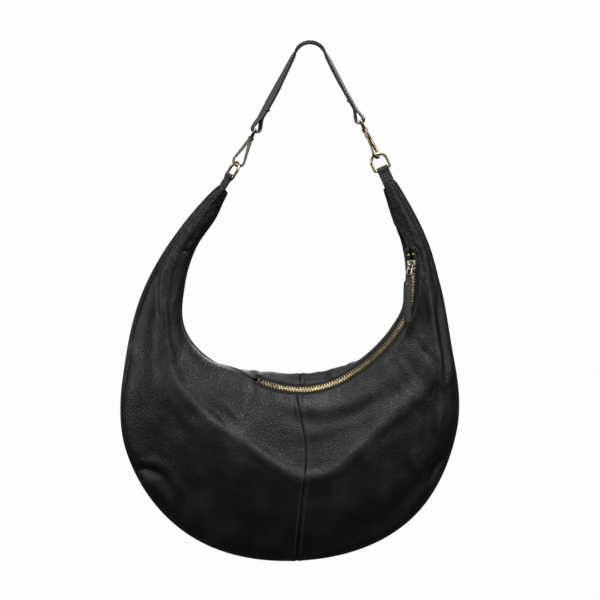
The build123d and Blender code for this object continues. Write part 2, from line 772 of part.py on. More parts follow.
# ---------------------------------------------------------------- places that joints turn about
for SIDE in SIDES:
    HOOK = hook_plane(SIDE)
    BOW = EYE[SIDE] + down(SIDE, LINK_LEAN[SIDE]) * (BOW_CENTRE + (BOW_INNER + BOW_OUTER) / 2)
    PIVOT = HOOK.from_local_coords((*GATE_PIVOT, 0))
    BAR = leaning_plane(RING_BAR[SIDE], SIDE, RING_LEAN[SIDE], RING_TURN[SIDE]).x_dir
    print(SIDE, "eye", EYE[SIDE], "post axis", down(SIDE, LINK_LEAN[SIDE]))
    print(SIDE, "bow", BOW, "ring top", RING_TOP[SIDE])
    print(SIDE, "ring bar", RING_BAR[SIDE], "along", BAR)
    print(SIDE, "gate pivot", PIVOT, "axis", HOOK.z_dir)
print("slider", SLIDER_PLANE.origin, "link pivot", LINK_PIVOT, "pull pivot", PULL_PIVOT)
print("pull axis", LINK_PLANE.x_dir, "end of travel", SLIDER_TRAVEL)
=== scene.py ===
"""Looks of the crescent hobo bag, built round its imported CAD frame.

Lengths are worked out in millimetres in the shared frame and turned into metres as each mesh is made.
"""
import math

import bpy
import numpy as np
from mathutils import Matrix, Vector, noise
from mathutils.bvhtree import BVHTree


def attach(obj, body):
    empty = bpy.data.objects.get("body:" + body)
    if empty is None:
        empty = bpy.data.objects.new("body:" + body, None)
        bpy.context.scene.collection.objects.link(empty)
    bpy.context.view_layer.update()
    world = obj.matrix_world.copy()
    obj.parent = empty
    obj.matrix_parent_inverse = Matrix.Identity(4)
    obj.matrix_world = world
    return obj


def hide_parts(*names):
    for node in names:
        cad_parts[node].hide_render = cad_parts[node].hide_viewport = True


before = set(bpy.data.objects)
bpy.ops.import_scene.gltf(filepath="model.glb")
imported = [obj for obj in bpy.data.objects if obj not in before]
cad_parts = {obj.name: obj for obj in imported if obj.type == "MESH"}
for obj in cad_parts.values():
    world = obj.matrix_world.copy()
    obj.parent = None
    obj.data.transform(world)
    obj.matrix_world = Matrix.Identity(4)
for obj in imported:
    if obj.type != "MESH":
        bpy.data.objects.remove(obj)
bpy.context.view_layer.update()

# ---------- sizes, in millimetres
MM = 0.001
LEATHER = 1.5
PANEL_THICKNESS = LEATHER * 0.9
LINING_THICKNESS = 0.5
EDGE_WEAR = 0.6  # share of the rubbed colour on a strip's edges
FACE_WEAR = 0.1
SIDES = ("left", "right")
SIGN = {"left": -1.0, "right": 1.0}
Y_AXIS = np.array((0.0, 1.0, 0.0))

# strap and clasps
STRAP_WIDTH = 16.0
SADDLE_RADIUS = 16.0  # of the strap's inner face over the peg
# degrees that each side leans from upright, and its length from the saddle to its end
STRAP_LEAN = {"left": 28.0, "right": 28.5}
STRAP_RUN = {"left": 98.2, "right": 87.5}
# turn of the strap's outer face to the front: share of the run, degrees
STRAP_TURN = {
    "left": ((0, 10), (0.25, 17), (0.6, 25), (0.8, 21), (1, 13)),
    "right": ((0, 9), (0.3, 14), (0.6, 12), (0.8, 12), (1, 13)),
}
STRAP_LOOP = 4.1  # radius of the strap's fold round the eye, to its middle
LOOP_LENGTH = 15.0  # from the bottom of the fold to where the strap lies doubled
TAIL_LENGTH = 27.0
TAIL_FLARE = 1.5  # how far the tail's end stands off the strap
LAYER_MIDDLE = LEATHER / 2  # from the joint between the strap's two layers to a layer's middle
TAIL_MIDDLE = 0.80  # from the same joint back to the tail's middle
LOOP_BACK = 1.5  # from the same joint back to the centre of the fold
LOOP_DROP = 2.25  # how far the fold's middle line hangs below the end of the run
STRAP_BOW = 0.8  # how far the middle of each run sags inward
STRAP_FACE_WEAR = 0.08
# middle and direction of the straight bar of each ring, which its tab is folded over
RING_BAR = {"left": (-88.48, 0.0, -129.70), "right": (80.0, 0.0, -121.87)}
RING_BAR_ALONG = {"left": (0.424, -0.866, -0.265), "right": (0.9135, 0.0, 0.4067)}
TAB_LEAN = {"left": 33.0, "right": 24.0}
TAB_WIDTH = 13.0
TAB_DROP = 22.0
RING_WIRE = 1.5  # radius

# mouth arc and zip; angles are degrees round the arc from straight down, to the right
ARC_X = -11.0
ARC_Z = -239.25
ZIP_RADIUS = 124.0
ZIP_Y = -13.0
ZIP_TILT = math.radians(37.5)  # of the zip's face, up from facing the front
ZIP_START = -22.3
MOUTH_END = 102.0
SLIDER_AT = 95.5
LIP_ACROSS = 6.1  # lips' edges each side of the middle of the zip
TOOTH_PITCH = 3.0
# each tape's woven strip and the bead under its teeth: middle from the zip's middle, half width, half height
TAPE_SECTION = (4.9, 2.9, 0.3)
BEAD_SECTION = (2.5, 0.8, 0.7)
PULL_PIVOT = (107.206, -21.251, -239.178)
PULL_LIFT = 12.0
PULL_WIDTH = 9.8
PULL_LENGTH = 52.0
PULL_THICKNESS = 2.6
PULL_CORNER = 2.5  # radius of the corners at the puller's end
NECK_HALF_WIDTH = 2.2
STITCH_PITCH = 3.2
STITCH_INSET = 6.0  # strap's edge rows from its middle
SEAM_STITCH = 3.4  # topstitching each side of a centre seam
LIP_STITCH = 2.6  # topstitching from the front lip's edge
LINING_DEPTH = 3.6
LINING_END = 122.0  # degrees round the arc
# how far the zip's line strays from its circle: degrees round the arc, millimetres outward
ZIP_STRAY = (
    (-26, 0), (-17.5, 0), (-8, 0.7), (2, 1.2), (17, -0.2), (30, -2.9), (48, -3.1), (62, -1.0), (72, 1.0),
    (80, 0), (104, 0),
)

# bag outline: degrees round the mouth arc, inner radius, outer radius
OUTLINE = (
    (-139, 120, 134), (-125, 112, 136), (-105, 118, 147), (-85, 127, 172), (-65, 139, 211),
    (-45, 133, 271), (-25, 116, 308), (0, 107, 313), (25, 110, 293), (45, 115.5, 243),
    (65, 118, 184), (85, 119, 156), (105, 117, 146), (125, 121, 145), (136, 131, 149),
)
# half the bag's depth: by height Z, and by place X
SIDE_DEPTH = (
    (-560, 6), (-548, 22), (-515, 37), (-450, 46), (-370, 38), (-300, 24), (-220, 15), (-120, 8.5),
)
TOP_DEPTH = ((-214, 6), (-200, 20), (-165, 34), (-20, 47), (125, 34), (157, 20), (170, 6))
# share of the width at which the front's soft ridge runs
RIDGE_SHARE = (
    (-139, 0.5), (-90, 0.42), (-62, 0.30), (-49, 0.33), (-33, 0.38), (-10, 0.48), (3, 0.53),
    (21, 0.45), (36, 0.43), (48, 0.55), (64, 0.6), (85, 0.5), (136, 0.5),
)
# how far in front of the middle the side seam runs
SEAM_FORWARD = ((-139, 0), (-120, 3), (-100, 7), (-75, 8), (-60, 5), (-45, 0), (136, 0))
# centre front seam, radius from the arc and its drift in degrees
FRONT_SEAM = ((110, -1.9), (127, -1.6), (155, 0.55), (189, 2.0), (214, 1.55), (256, 0.34), (307, -0.65))
DRIFT_REACH = 16  # degrees over which the drift dies away each side
# stations of the section: share of the way between two places, share of the full depth
FRONT_RISE = ((0.33, 0.42), (0.72, 0.74))  # lip to ridge
FRONT_FALL = ((0.30, 0.93), (0.60, 0.76), (0.84, 0.52), (0.955, 0.28))  # ridge to rim
BACK_RISE = ((0.97, 0.24), (0.86, 0.52), (0.60, 0.80), (0.30, 0.95))  # belly to rim, from the rim
BACK_FALL = ((0.66, 0.92), (0.30, 0.70), (0.08, 0.40))  # crest to belly, from the belly
# how each half turns in at the outer seam: in from the rim, away from the seam
RIM_TURN = ((0.6, 1.7), (2.4, 0.1))
RIM_CLEAR = 2.6  # least distance of the sections' rows before that from the seam
ROWS_PER_DEGREE = 2.1

# ---------- studio, in metres and watts
# each light's name, place, size and power
LIGHTS = (
    ("top", (-0.15, -0.75, 1.25), 0.5, 20),
    ("left", (-1.7, -0.6, 0.1), 0.6, 9),
    ("right", (1.4, -1.1, 0.3), 0.8, 9),
    ("front", (0.25, -2.3, 0.75), 1.0, 4),
    ("rear", (0.2, 1.6, 0.7), 1.1, 14),
)
LIT_PLACE = (-0.011, 0.0, -0.30)
CAMERA_PLACE = (-0.011, -2.6, -0.266)
CAMERA_AIM = (-0.011, 0.0, -0.266)
SENSOR_WIDTH = 36.0  # sensor and lens in millimetres
LENS = 141.8
FLOOR_RADIUS = 1.1
FLOOR_HEIGHT = -0.75
FLOOR_SIDES = 64
SURROUNDINGS = ((0.35, 0.03), (0.55, 0.10), (0.9, 0.5))  # share of the way up, grey
SURROUNDINGS_LIGHT = 0.50
BACKDROP = (0.985, 0.985, 0.985, 1.0)


# ---------- number helpers
def in_plane(x, z):
    """Vectors in the X-Z plane."""
    return np.stack([x, np.zeros_like(x), z], axis=-1)


def hermite(t, gap, start, end, start_slope, end_slope):
    """Smooth line between two values with their slopes, at shares t of the gap."""
    return (
        (2 * t**3 - 3 * t**2 + 1) * start
        + (t**3 - 2 * t**2 + t) * gap * start_slope
        + (3 * t**2 - 2 * t**3) * end
        + (t**3 - t**2) * gap * end_slope
    )


def through(stations, at):
    """Values at places along a smooth line through the stations, whose first column is the place."""
    table = np.array(stations, float)
    places, values = table[:, 0], table[:, 1:]
    slopes = np.gradient(values, places, axis=0)
    at = np.clip(np.asarray(at, float), places[0], places[-1])
    low = np.clip(np.searchsorted(places, at) - 1, 0, len(places) - 2)
    gap = (places[low + 1] - places[low])[..., None]
    t = (at - places[low])[..., None] / gap
    made = hermite(t, gap, values[low], values[low + 1], slopes[low], slopes[low + 1])
    return made[..., 0] if made.shape[-1] == 1 else made


def ease(low, high, x):
    """0 before low, 1 after high, and smooth between."""
    t = np.clip((np.asarray(x, float) - low) / (high - low), 0, 1)
    return t * t * (3 - 2 * t)


def bell(x, width, middle=0.0):
    """1 at the middle, falling smoothly to nothing each side."""
    return np.exp(-(((x - middle) / width) ** 2))


def unit(vectors):
    """Vectors, along the last axis, made one long."""
    return vectors / (np.linalg.norm(vectors, axis=-1, keepdims=True) + 1e-9)


def spline_rows(controls, steps):
    """Smooth curves through rows of control points, with steps[i] parts to each span."""
    gaps = np.linalg.norm(np.diff(controls, axis=1), axis=2)[..., None] + 1e-6
    slopes = np.diff(controls, axis=1) / gaps
    inner = (gaps[:, 1:] * slopes[:, :-1] + gaps[:, :-1] * slopes[:, 1:]) / (gaps[:, 1:] + gaps[:, :-1])
    tangents = np.concatenate([slopes[:, :1], inner, slopes[:, -1:]], axis=1)
    parts = []
    for i, count in enumerate(steps):
        t = (np.arange(count + (i == len(steps) - 1)) / count)[None, :, None]
        parts.append(hermite(
            t, gaps[:, i, None], controls[:, i, None], controls[:, i + 1, None],
            tangents[:, i, None], tangents[:, i + 1, None],
        ))
    return np.concatenate(parts, axis=1)


def line_distance(points, line):
    """Distance of each point, two numbers, from a bent line, and how far along the line it is, 0 to 1."""
    line = np.array(line, float)
    lengths = np.linalg.norm(np.diff(line, axis=0), axis=1)
    starts = np.concatenate([[0], np.cumsum(lengths)])
    best = np.full(points.shape[:-1], 1e9)
    along = np.zeros(points.shape[:-1])
    for i, (a, b) in enumerate(zip(line[:-1], line[1:])):
        d = b - a
        t = np.clip(((points - a) @ d) / (d @ d), 0, 1)
        gap = np.linalg.norm(points - a - t[..., None] * d, axis=-1)
        nearer = gap < best
        best = np.where(nearer, gap, best)
        along = np.where(nearer, (starts[i] + t * lengths[i]) / starts[-1], along)
    return best, along


def noise_field(points, size, seed):
    """Soft noise from -1 to 1 at points, in millimetres, with features about size across."""
    flat = points.reshape(-1, 3)
    shift = Vector((seed * 17.3, seed * 5.1, seed * 9.7))
    made = [noise.noise(Vector(p) / size + shift) for p in flat]
    return np.array(made).reshape(points.shape[:-1])


def grid_normals(grid):
    """Unit normals of a grid of points."""
    return unit(np.cross(np.gradient(grid, axis=0), np.gradient(grid, axis=1)))


# ---------- mesh helpers
def in_scene(name, data):
    """A new object in the scene."""
    item = bpy.data.objects.new(name, data)
    bpy.context.scene.collection.objects.link(item)
    return item


def new_piece(name, points, faces, body, material, nodes=(), smooth=True):
    """A mesh object from points in millimetres, which rides on a CAD body."""
    mesh = bpy.data.meshes.new(name)
    places = np.asarray(points, float).reshape(-1, 3) * MM
    mesh.from_pydata(places.tolist(), [], [list(map(int, f)) for f in faces])
    mesh.validate()
    mesh.polygons.foreach_set("use_smooth", [smooth] * len(mesh.polygons))
    mesh.materials.append(material)
    piece = in_scene(name, mesh)
    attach(piece, body)
    if nodes:
        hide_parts(*nodes)
    return piece


def paint_wear_and_highlight(piece, values):
    """Stores how pale each point is, 0 to 1, from wear and from painted highlight, for the leather to read.
    """
    attribute = piece.data.attributes.new("wear_and_highlight", "FLOAT", "POINT")
    attribute.data.foreach_set("value", np.asarray(values).reshape(-1).astype(np.float32))


def thicken(piece, depth):
    """Gives a sheet its thickness in millimetres, towards its inside."""
    solid = piece.modifiers.new("thickness", "SOLIDIFY")
    solid.thickness = depth * MM
    solid.offset = -1.0
    solid.use_even_offset = False


def grid_faces(rows, columns, wrap=False):
    """Quads over a grid of rows by columns; wrap joins the last column to the first."""
    last = columns if wrap else columns - 1
    faces = []
    for i in range(rows - 1):
        for j in range(last):
            k = (j + 1) % columns
            faces.append((i * columns + j, i * columns + k, (i + 1) * columns + k, (i + 1) * columns + j))
    return faces


def tube_faces(rows, columns):
    """Quads round a closed-section tube, with a face over each end."""
    start = tuple(reversed(range(columns)))
    end = tuple(range((rows - 1) * columns, rows * columns))
    return grid_faces(rows, columns, wrap=True) + [start, end]


def outward_faces(grid, outward):
    """Quads over a grid of points, all facing outward."""
    faces = grid_faces(*grid.shape[:2])
    if np.mean((grid_normals(grid) * outward).sum(-1)) > 0:
        faces = [tuple(reversed(f)) for f in faces]
    return faces


def rounded_section(half_width, half_thickness, corner, points=3):
    """Outline of a rounded rectangle, anticlockwise, as (across, up) pairs."""
    corner = min(corner, half_width * 0.98, half_thickness * 0.98)
    made = []
    for quarter in range(4):
        cx = (half_width - corner) * (1, -1, -1, 1)[quarter]
        cy = (half_thickness - corner) * (1, 1, -1, -1)[quarter]
        for step in range(points + 1):
            angle = math.pi / 2 * (quarter + step / points)
            made.append((cx + corner * math.cos(angle), cy + corner * math.sin(angle)))
    return np.array(made)


def ribbon_points(path, across, up, section):
    """Points of a section swept along path, with its own across and up direction at each place."""
    return path[:, None] + across[:, None] * section[None, :, :1] + up[:, None] * section[None, :, 1:]


class Pile:
    """Several small closed shapes gathered into one mesh."""

    def __init__(self):
        self.points = []
        self.faces = []

    def add(self, points, faces):
        """Takes in one more shape."""
        start = len(self.points)
        self.points.extend(np.asarray(points).reshape(-1, 3).tolist())
        self.faces.extend([tuple(start + i for i in f) for f in faces])

    def piece(self, name, body, material, slot, nodes=(), smooth=True):
        """The gathered shapes as one piece."""
        return new_piece(name, self.points, self.faces, body, material, nodes, smooth)


# ---------- materials
def material_base(name, metallic=0.0):
    """A material with only its Principled shader and its object coordinates."""
    material = bpy.data.materials.new(name)
    material.use_nodes = True
    tree = material.node_tree
    shader = tree.nodes["Principled BSDF"]
    shader.inputs["Metallic"].default_value = metallic
    place = tree.nodes.new("ShaderNodeTexCoord")
    return material, tree, shader, place.outputs["Object"]


def node(tree, kind, **values):
    """A node with its inputs and properties set by name."""
    made = tree.nodes.new(kind)
    for key, value in values.items():
        name = key.replace("_", " ")
        if name in made.inputs:
            made.inputs[name].default_value = value
        else:
            setattr(made, key, value)
    return made


def feed(tree, socket, value):
    """Links a socket to another, or sets its value."""
    if hasattr(value, "default_value"):
        tree.links.new(value, socket)
    else:
        socket.default_value = value


def texture(tree, place, kind, **values):
    """Texture node that is read at a place."""
    made = node(tree, kind, **values)
    feed(tree, made.inputs["Vector"], place)
    return made


def noise_node(tree, place, size, detail=3.0, roughness=0.55):
    """Noise with features about size millimetres across."""
    values = {"Scale": 1000.0 / size, "Detail": detail, "Roughness": roughness}
    return texture(tree, place, "ShaderNodeTexNoise", **values).outputs["Fac"]


def ramp(tree, source, stops):
    """Colour ramp from a value to colours or greys."""
    made = tree.nodes.new("ShaderNodeValToRGB")
    tree.links.new(source, made.inputs["Fac"])
    elements = made.color_ramp.elements
    while len(elements) < len(stops):
        elements.new(0.5)
    for element, (at, colour) in zip(elements, stops):
        element.position = at
        element.color = (*colour, 1.0) if hasattr(colour, "__len__") else (colour, colour, colour, 1.0)
    return made.outputs["Color"]


def maths(tree, operation, a, b):
    """Math node of two values or sockets."""
    made = tree.nodes.new("ShaderNodeMath")
    made.operation = operation
    for socket, value in zip(made.inputs, (a, b)):
        feed(tree, socket, value)
    return made.outputs[0]


def blend_colours(tree, share, a, b):
    """Colour between two sockets or colours."""
    made = tree.nodes.new("ShaderNodeMix")
    made.data_type = "RGBA"
    sockets = [s for s in made.inputs if s.type == "RGBA"]
    tree.links.new(share, made.inputs[0])
    for socket, value in zip(sockets, (a, b)):
        feed(tree, socket, (*value, 1.0) if isinstance(value, tuple) else value)
    return [s for s in made.outputs if s.type == "RGBA"][0]


def surface(tree, shader, colour, roughness, bumps):
    """Gives the shader its colour, its roughness and bumps: height socket, millimetres deep, strength."""
    feed(tree, shader.inputs["Base Color"], colour)
    feed(tree, shader.inputs["Roughness"], roughness)
    last = shader.inputs["Normal"]
    for height, depth, strength in reversed(bumps):
        made = node(tree, "ShaderNodeBump", Strength=strength, Distance=depth * MM)
        feed(tree, made.inputs["Height"], height)
        feed(tree, last, made.outputs["Normal"])
        last = made.inputs["Normal"]


def pebbled_leather(name, dark, light, wear_and_highlight_colour, grain, roughness, creases=0.16):
    """Milled leather: pebbles with fine pores and painted shade between, creases, and ridges made paler by
    wear and by painted highlight.
    """
    material, tree, shader, place = material_base(name)
    warp = texture(tree, place, "ShaderNodeTexNoise", Scale=1000.0 / 7.0, Detail=2.0)
    warped = node(tree, "ShaderNodeVectorMath", operation="MULTIPLY_ADD")
    for socket, value in zip(warped.inputs, (warp.outputs["Color"], (0.0016, 0.0016, 0.0016), place)):
        feed(tree, socket, value)
    pebbles, valleys = (
        texture(tree, warped.outputs[0], "ShaderNodeTexVoronoi", feature=feature, Scale=1000.0 / grain)
        for feature in ("SMOOTH_F1", "DISTANCE_TO_EDGE")
    )
    pebbles.inputs["Smoothness"].default_value = 0.35
    dome = ramp(tree, pebbles.outputs["Distance"], ((0.0, 1.0), (0.75, 0.0)))
    groove = ramp(tree, valleys.outputs["Distance"], ((0.0, 0.0), (0.16, 1.0)))
    pores = noise_node(tree, place, grain * 0.22, 4.0)
    folds = noise_node(tree, place, 16.0, 4.0, 0.6)
    cloud = noise_node(tree, place, 48.0, 3.0)
    wear_and_highlight = node(tree, "ShaderNodeAttribute", attribute_name="wear_and_highlight").outputs["Fac"]
    base = blend_colours(tree, cloud, dark, light)
    # painted shade: the valleys between pebbles are darker than the pebbles
    base = blend_colours(tree, maths(tree, "MULTIPLY", groove, 0.55), dark, base)
    # paler where worn and where a painted highlight lies on the fold crests, more on pebble tops than in
    # valleys
    wear_and_highlight_share = maths(tree, "MULTIPLY", wear_and_highlight, maths(tree, "MULTIPLY_ADD", groove, 0.6))
    base = blend_colours(tree, wear_and_highlight_share, base, wear_and_highlight_colour)
    rough = ramp(tree, pores, ((0.25, roughness - 0.09), (0.75, roughness + 0.12)))
    shader.inputs["Specular IOR Level"].default_value = 0.40
    bumps = ((folds, 1.6, creases), (dome, 0.4, 0.45), (groove, 0.24, 0.55), (pores, 0.07, 0.45))
    surface(tree, shader, base, rough, bumps)
    return material


def thread_material(name, colour):
    """Waxed thread with a fine twist."""
    material, tree, shader, place = material_base(name)
    twist = texture(tree, place, "ShaderNodeTexWave", Scale=900.0, Distortion=2.0).outputs["Fac"]
    shade = tuple(c * 0.55 for c in colour)
    surface(tree, shader, blend_colours(tree, twist, shade, colour), 0.6, ((twist, 0.12, 0.6),))
    return material


def edge_paint(name):
    """Black edge dye with brush unevenness, over the cut edges of leather."""
    material, tree, shader, place = material_base(name)
    streak = noise_node(tree, place, 1.2, 4.0)
    dye = ramp(tree, streak, ((0.3, (0.008, 0.008, 0.008)), (0.7, (0.02, 0.019, 0.018))))
    rough = ramp(tree, streak, ((0.2, 0.32), (0.8, 0.6)))
    surface(tree, shader, dye, rough, ((streak, 0.2, 0.5),))
    return material


def woven(name, colour, size, depth, sheen=0.2):
    """Plain weave: two crossing sets of threads, in object coordinates."""
    material, tree, shader, place = material_base(name)
    waves = [
        texture(tree, place, "ShaderNodeTexWave", wave_type="BANDS", bands_direction=direction,
                Scale=1000.0 / size / 20.0 * math.pi, Distortion=0.6).outputs["Fac"]
        for direction in ("X", "Z")
    ]
    weave = maths(tree, "MAXIMUM", *waves)
    cloud = noise_node(tree, place, 12.0)
    shade = tuple(c * 0.4 for c in colour)
    base = blend_colours(tree, weave, shade, colour)
    base = blend_colours(tree, maths(tree, "MULTIPLY", cloud, 0.4), base, shade)
    shader.inputs["Sheen Weight"].default_value = sheen
    fuzz = noise_node(tree, place, 0.4)
    surface(tree, shader, base, 0.85, ((weave, depth, 0.7), (fuzz, 0.05, 0.4)))
    return material


def plated_metal(name, bright, tarnish, rough_low, rough_high, patina=0.55):
    """Plated hardware: tarnish in patches, fine scratches and a slightly cast surface."""
    material, tree, shader, place = material_base(name, metallic=1.0)
    patches = noise_node(tree, place, 5.0, 5.0, 0.65)
    fine = noise_node(tree, place, 0.6, 3.0)
    drawn = texture(tree, place, "ShaderNodeMapping", Scale=(1.0, 1.0, 0.08)).outputs[0]
    scratches = texture(tree, drawn, "ShaderNodeTexNoise", Scale=500.0, Detail=2.0).outputs["Fac"]
    share = ramp(tree, patches, ((patina - 0.12, 0.0), (patina + 0.16, 1.0)))
    base = blend_colours(tree, share, bright, tarnish)
    rough = ramp(tree, patches, ((0.3, rough_low), (0.7, rough_high)))
    surface(tree, shader, base, rough, ((fine, 0.05, 0.35), (scratches, 0.04, 0.3)))
    return material


# the bag's pale colour serves both wear and a painted highlight along its fold crests
BAG_LEATHER = pebbled_leather(
    "bag_leather_grain", dark=(0.0052, 0.0049, 0.0047), light=(0.0135, 0.0130, 0.0118),
    wear_and_highlight_colour=(0.050, 0.048, 0.045), grain=2.3, roughness=0.37,
)
TAB_LEATHER = pebbled_leather(
    "tab_leather_grain", dark=(0.008, 0.008, 0.008), light=(0.018, 0.018, 0.017),
    wear_and_highlight_colour=(0.060, 0.060, 0.058), grain=1.6, roughness=0.40,
)
STRAP_LEATHER = pebbled_leather(
    "strap_leather_grain", dark=(0.028, 0.028, 0.026), light=(0.062, 0.062, 0.058),
    wear_and_highlight_colour=(0.120, 0.120, 0.113), grain=1.5, roughness=0.45, creases=0.15,
)
EDGE = edge_paint("edge_dye")
THREAD = thread_material("waxed_thread", (0.075, 0.072, 0.066))
LINING = woven("lining_weave", (0.05, 0.045, 0.04), 0.9, 0.12)
TAPE = woven("zip_tape_weave", (0.005, 0.005, 0.0052), 0.7, 0.14, 0.02)
ZIP_BRASS = plated_metal("zip_brass_teeth", (0.78, 0.66, 0.37), (0.20, 0.16, 0.085), 0.30, 0.5, 0.53)
STOP_BRASS = plated_metal("zip_stop_brass", (0.16, 0.125, 0.065), (0.06, 0.048, 0.03), 0.4, 0.6, 0.45)
BRASS = plated_metal("antique_brass_plate", (0.70, 0.60, 0.39), (0.30, 0.24, 0.14), 0.24, 0.42)
RING_BRASS = plated_metal("ring_brass_plate", (0.68, 0.58, 0.37), (0.28, 0.22, 0.13), 0.22, 0.40)
PEWTER = plated_metal("hook_pewter_plate", (0.56, 0.53, 0.45), (0.20, 0.185, 0.15), 0.28, 0.46, 0.52)
STEEL = plated_metal("pin_steel_bright", (0.60, 0.59, 0.57), (0.30, 0.29, 0.28), 0.2, 0.38)


# ---------- bag body
def radial(phi):
    """Unit vectors out from the mouth arc's middle, at angles in degrees."""
    turn = np.radians(phi)
    return in_plane(np.sin(turn), -np.cos(turn))


def arc_point(phi, radius, depth):
    """Points at an angle, a radius and a depth behind the middle."""
    centre = np.array((ARC_X, 0.0, ARC_Z))
    return centre + radial(phi) * np.asarray(radius)[..., None] + Y_AXIS * np.asarray(depth)[..., None]


def half_depth(phi, radius):
    """Half the bag's depth at an angle and a radius."""
    place = arc_point(phi, radius, np.zeros_like(radius))
    return np.minimum(through(SIDE_DEPTH, place[..., 2]), through(TOP_DEPTH, place[..., 0]))


def mix(a, b, share):
    """Between two pairs of columns, by a share for each row."""
    return a + (b - a) * share[:, None]


def pair(radius, depth):
    """A column of section points."""
    radius, depth = np.broadcast_arrays(np.asarray(radius, float), np.asarray(depth, float))
    return np.stack([radius, depth], axis=-1)


def section_frame(phi):
    """What both halves share at each angle: edges, ridge, its depth and the zip's radius."""
    inner, outer = through(OUTLINE, phi).T
    ridge = inner + (outer - inner) * through(RIDGE_SHARE, phi)
    depth = half_depth(phi, ridge)
    zip_at = ZIP_RADIUS + through(ZIP_STRAY, phi)
    return inner, outer, ridge, depth, zip_at


def joint_leaves_crest(phi):
    """Share of the way that the line between front and back has come from the crest to the zip's line."""
    return ease(-50, ZIP_START - 1, phi) * (1 - ease(MOUTH_END + 1, 129, phi))


def mouth_opens(phi):
    """Share of the way that the lips have parted round the zip."""
    return ease(ZIP_START - 2.4, ZIP_START + 0.4, phi) * (1 - ease(MOUTH_END - 0.4, MOUTH_END + 2.4, phi))


def lips(phi, inner, zip_at, way):
    """Edge of the front (way 1) or back (-1) leather, with directions into the bag and from the zip."""
    joint, mouth = joint_leaves_crest(phi), mouth_opens(phi)
    cos, sin = math.cos(ZIP_TILT), math.sin(ZIP_TILT)
    edge = mix(pair(inner + 1.0, -0.5 * way), pair(zip_at, ZIP_Y), joint)
    into = mix(pair(np.ones_like(phi), 0), pair(np.full_like(phi, sin), cos), joint)
    away = mix(pair(np.full_like(phi, 0.1), -way), pair(np.full_like(phi, cos * way), -sin * way), joint)
    parting = LIP_ACROSS * mouth + 0.35
    return edge + away * parting[:, None] + into * (0.9 * (1 - mouth))[:, None], into, away


def front_controls(phi):
    """Section points of the front, from under its lip, over the ridge, to the outer seam."""
    inner, outer, ridge, depth, zip_at = section_frame(phi)
    seam_y = -through(SEAM_FORWARD, phi)
    edge, into, away = lips(phi, inner, zip_at, 1)
    under = edge + into * 2.4 + away * 0.5
    near = edge + away * 2.3 - into * 0.5
    points = [under, edge, near]
    puff = 0.22 * (1 - joint_leaves_crest(phi))
    for share, rise in FRONT_RISE:
        reach = near[:, 0] + (ridge - near[:, 0]) * share
        points.append(pair(reach, near[:, 1] + (-depth - near[:, 1]) * (rise + puff * (1.2 - share))))
    points.append(pair(ridge, -depth))
    for share, part in FRONT_FALL:
        reach = ridge + (outer - ridge) * share
        deep = np.minimum(half_depth(phi, reach), depth * part)
        points.append(pair(reach, np.minimum(-deep, seam_y - RIM_CLEAR)))
    points += [pair(outer - inset, seam_y - gap) for inset, gap in RIM_TURN]
    return np.stack(points, axis=1)


def back_controls(phi):
    """Section points of the back, from the outer seam, over its belly and crest, to under its lip."""
    inner, outer, _, _, zip_at = section_frame(phi)
    seam_y = -through(SEAM_FORWARD, phi)
    belly = inner + (outer - inner) * 0.5
    depth = half_depth(phi, belly) * 0.97
    points = [pair(outer - inset, seam_y + gap) for inset, gap in reversed(RIM_TURN)]
    for share, part in BACK_RISE:
        reach = belly + (outer - belly) * share
        deep = np.minimum(half_depth(phi, reach), depth * part)
        points.append(pair(reach, np.maximum(deep, seam_y + RIM_CLEAR + 3 * (1 - share))))
    points.append(pair(belly, depth))
    for share, part in BACK_FALL:
        points.append(pair(inner + (belly - inner) * share, depth * part))
    edge, into, away = lips(phi, inner, zip_at, -1)
    joint = joint_leaves_crest(phi)
    crest = mix(pair(inner + 0.1, 2.6), pair(inner, 3.0), joint)
    middle = mix(pair(inner + 0.2, 1.4), (crest + edge) / 2 + pair(np.full_like(phi, -0.8), -0.6), joint)
    points += [crest, middle, edge, edge + into * 2.2 + away * 0.3]
    return np.stack(points, axis=1)


FRONT_STEPS = (3, 3, 9, 12, 10, 12, 12, 9, 6, 4, 3)
BACK_STEPS = (3, 3, 5, 9, 12, 12, 11, 10, 7, 5, 6, 6, 3)
HORN_END = {"left": -139.0, "right": 136.0}
HORN_CLOSING = 2.5  # degrees over which the horn's tip narrows on the tab


def seam_drift(phi, radius):
    """Degrees by which the front's centre seam strays from the middle."""
    return through(FRONT_SEAM, radius) * bell(phi, DRIFT_REACH)


def panel_grid(side, controls, steps):
    """Undisplaced grid of one panel and the angle and radius of each point."""
    end = HORN_END[side]
    rows = np.linspace(end, 0, int(abs(end) * ROWS_PER_DEGREE))
    if side == "right":
        rows = rows[::-1]
    section = spline_rows(controls(rows), steps)
    closing = 1 - 0.10 * (1 - np.sqrt(np.clip(np.abs(end - rows) / HORN_CLOSING, 0, 1)))
    inner, outer = through(OUTLINE, rows).T
    middle = pair((inner + outer) / 2, 0)[:, None]
    section = middle + (section - middle) * closing[:, None, None]
    radius, depth = section[..., 0], section[..., 1]
    phi = np.repeat(rows[:, None], radius.shape[1], axis=1)
    if controls is front_controls:
        phi = phi + seam_drift(phi, radius)
    return arc_point(phi, radius, depth), phi, radius


